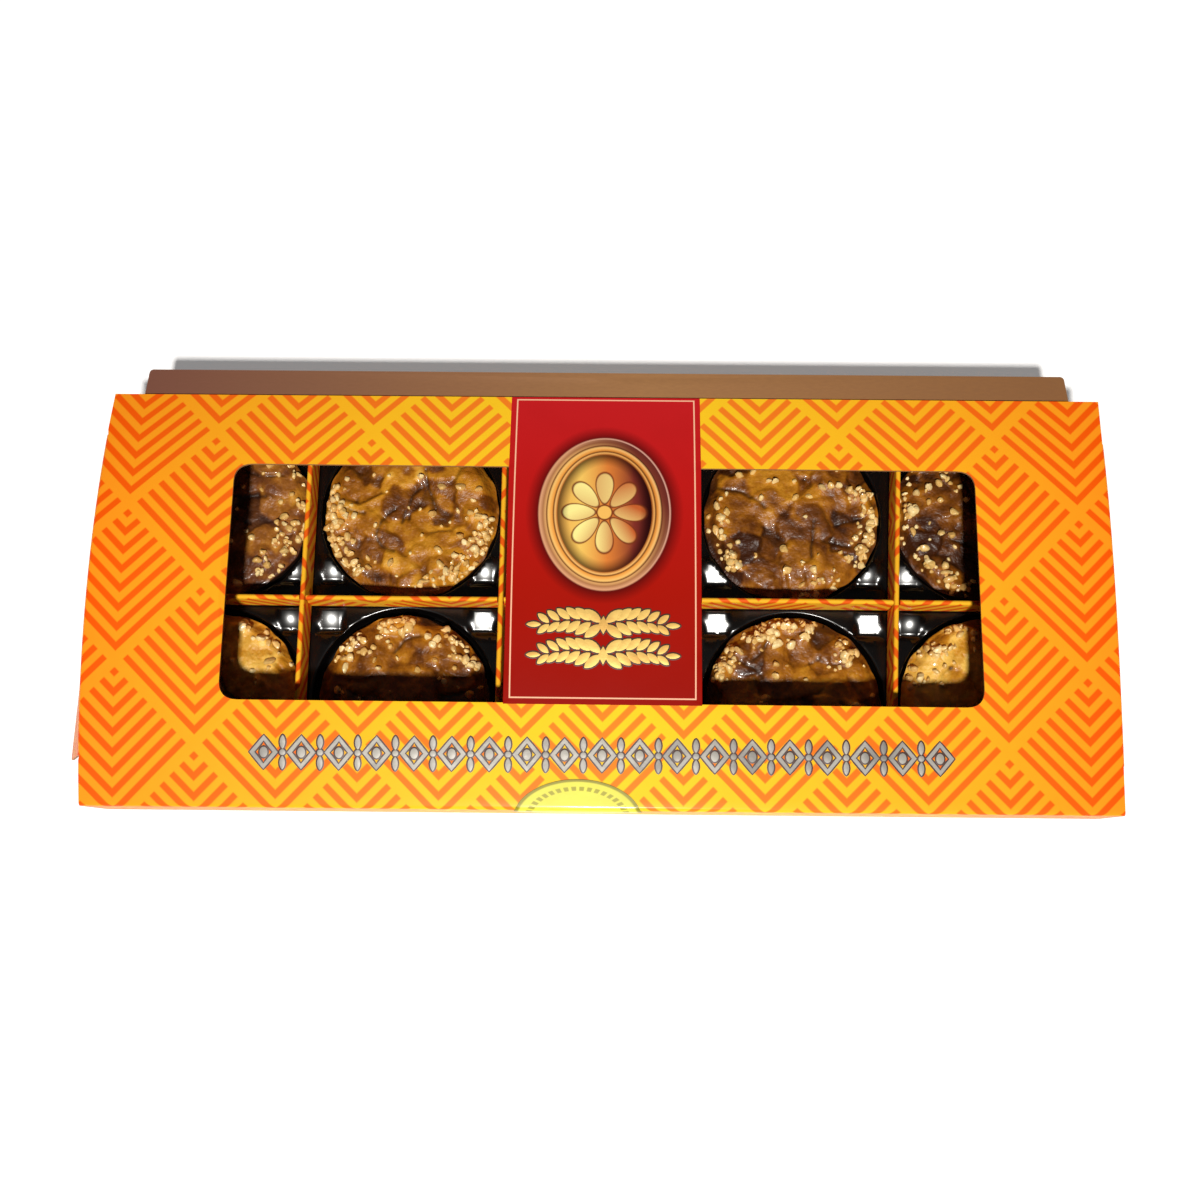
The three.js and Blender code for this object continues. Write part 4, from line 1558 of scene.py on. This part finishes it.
def add_key():
    """A compact light from the front that faces the lid."""
    data = bpy.data.lights.new("key", "AREA")
    data.shape = "RECTANGLE"
    data.size = data.size_y = KEY_SIZE
    data.energy = KEY_POWER
    data.color = KEY_COLOUR
    light = add_object("key", data)
    light.location = MIDDLE + KEY_PLACE
    light.rotation_euler = (-KEY_PLACE).to_track_quat("-Z", "Y").to_euler()


def add_surround():
    """A surround that is pale only near the table."""
    world = bpy.data.worlds.new("surround")
    world.use_nodes = True
    tree = world.node_tree
    places = tree.nodes.new("ShaderNodeTexCoord").outputs["Generated"]
    height = (axis_of(tree, places, "Z") / SKY_EDGE).clamped()
    feed(tree, tree.nodes["Background"].inputs["Color"], height * (SKY_HIGH - SKY_LOW) + SKY_LOW)
    bpy.context.scene.world = world


def place_camera():
    azimuth, elevation, roll = (math.radians(a) for a in (CAMERA_AZIMUTH, CAMERA_ELEVATION, CAMERA_ROLL))
    flat = math.cos(elevation)
    back = Vector((math.sin(azimuth) * flat, -math.cos(azimuth) * flat, math.sin(elevation)))
    right = Vector((math.cos(azimuth), math.sin(azimuth), 0))
    up = right.cross(-back)
    rolled_right = right * math.cos(roll) + up * math.sin(roll)
    rolled_up = up * math.cos(roll) - right * math.sin(roll)
    data = bpy.data.cameras.new("camera")
    data.lens = CAMERA_LENS
    data.sensor_width = 36
    data.shift_x, data.shift_y = CAMERA_SHIFT
    camera = add_object("camera", data)
    turn = Matrix((rolled_right, rolled_up, back)).transposed()
    camera.matrix_world = Matrix.Translation(MIDDLE + back * CAMERA_DISTANCE) @ turn.to_4x4()
    bpy.context.scene.camera = camera


# -------------------- assembly


def build_carton():
    centre = (paint(254, 210, 38), paint(247, 134, 38))
    sides = (paint(254, 150, 28), paint(246, 88, 6))
    card = chevron_card("chevron_print", centre, sides, 0.42)
    build_lid(card, red_panel(), shade_darkened_board())
    build_films(clear_film())
    build_sticker(sticker_paper())
    ink = dark_ink()
    build_gold(foil("gold_foil", paint(250, 206, 112), paint(206, 124, 44), 0.34), ink)
    build_silver(foil("silver_foil", paint(158, 154, 146), paint(98, 94, 92), 0.42), ink)
    build_tray(brown_card())
    build_insert(black_sheet())
    strip = (paint(255, 190, 44), paint(240, 96, 20))
    build_dividers(chevron_card("divider_print", strip, strip, 0.4))


def build_contents():
    glaze = caramel()
    chocolate = dark_chocolate()
    biscuits = [build_biscuit(number, glaze, chocolate) for number in BISCUIT_LOOKS]
    build_nuts(biscuits, chopped_nut())


build_carton()
build_contents()
build_floor()
add_key()
add_surround()
place_camera()
bpy.context.scene.view_settings.view_transform = "Standard"
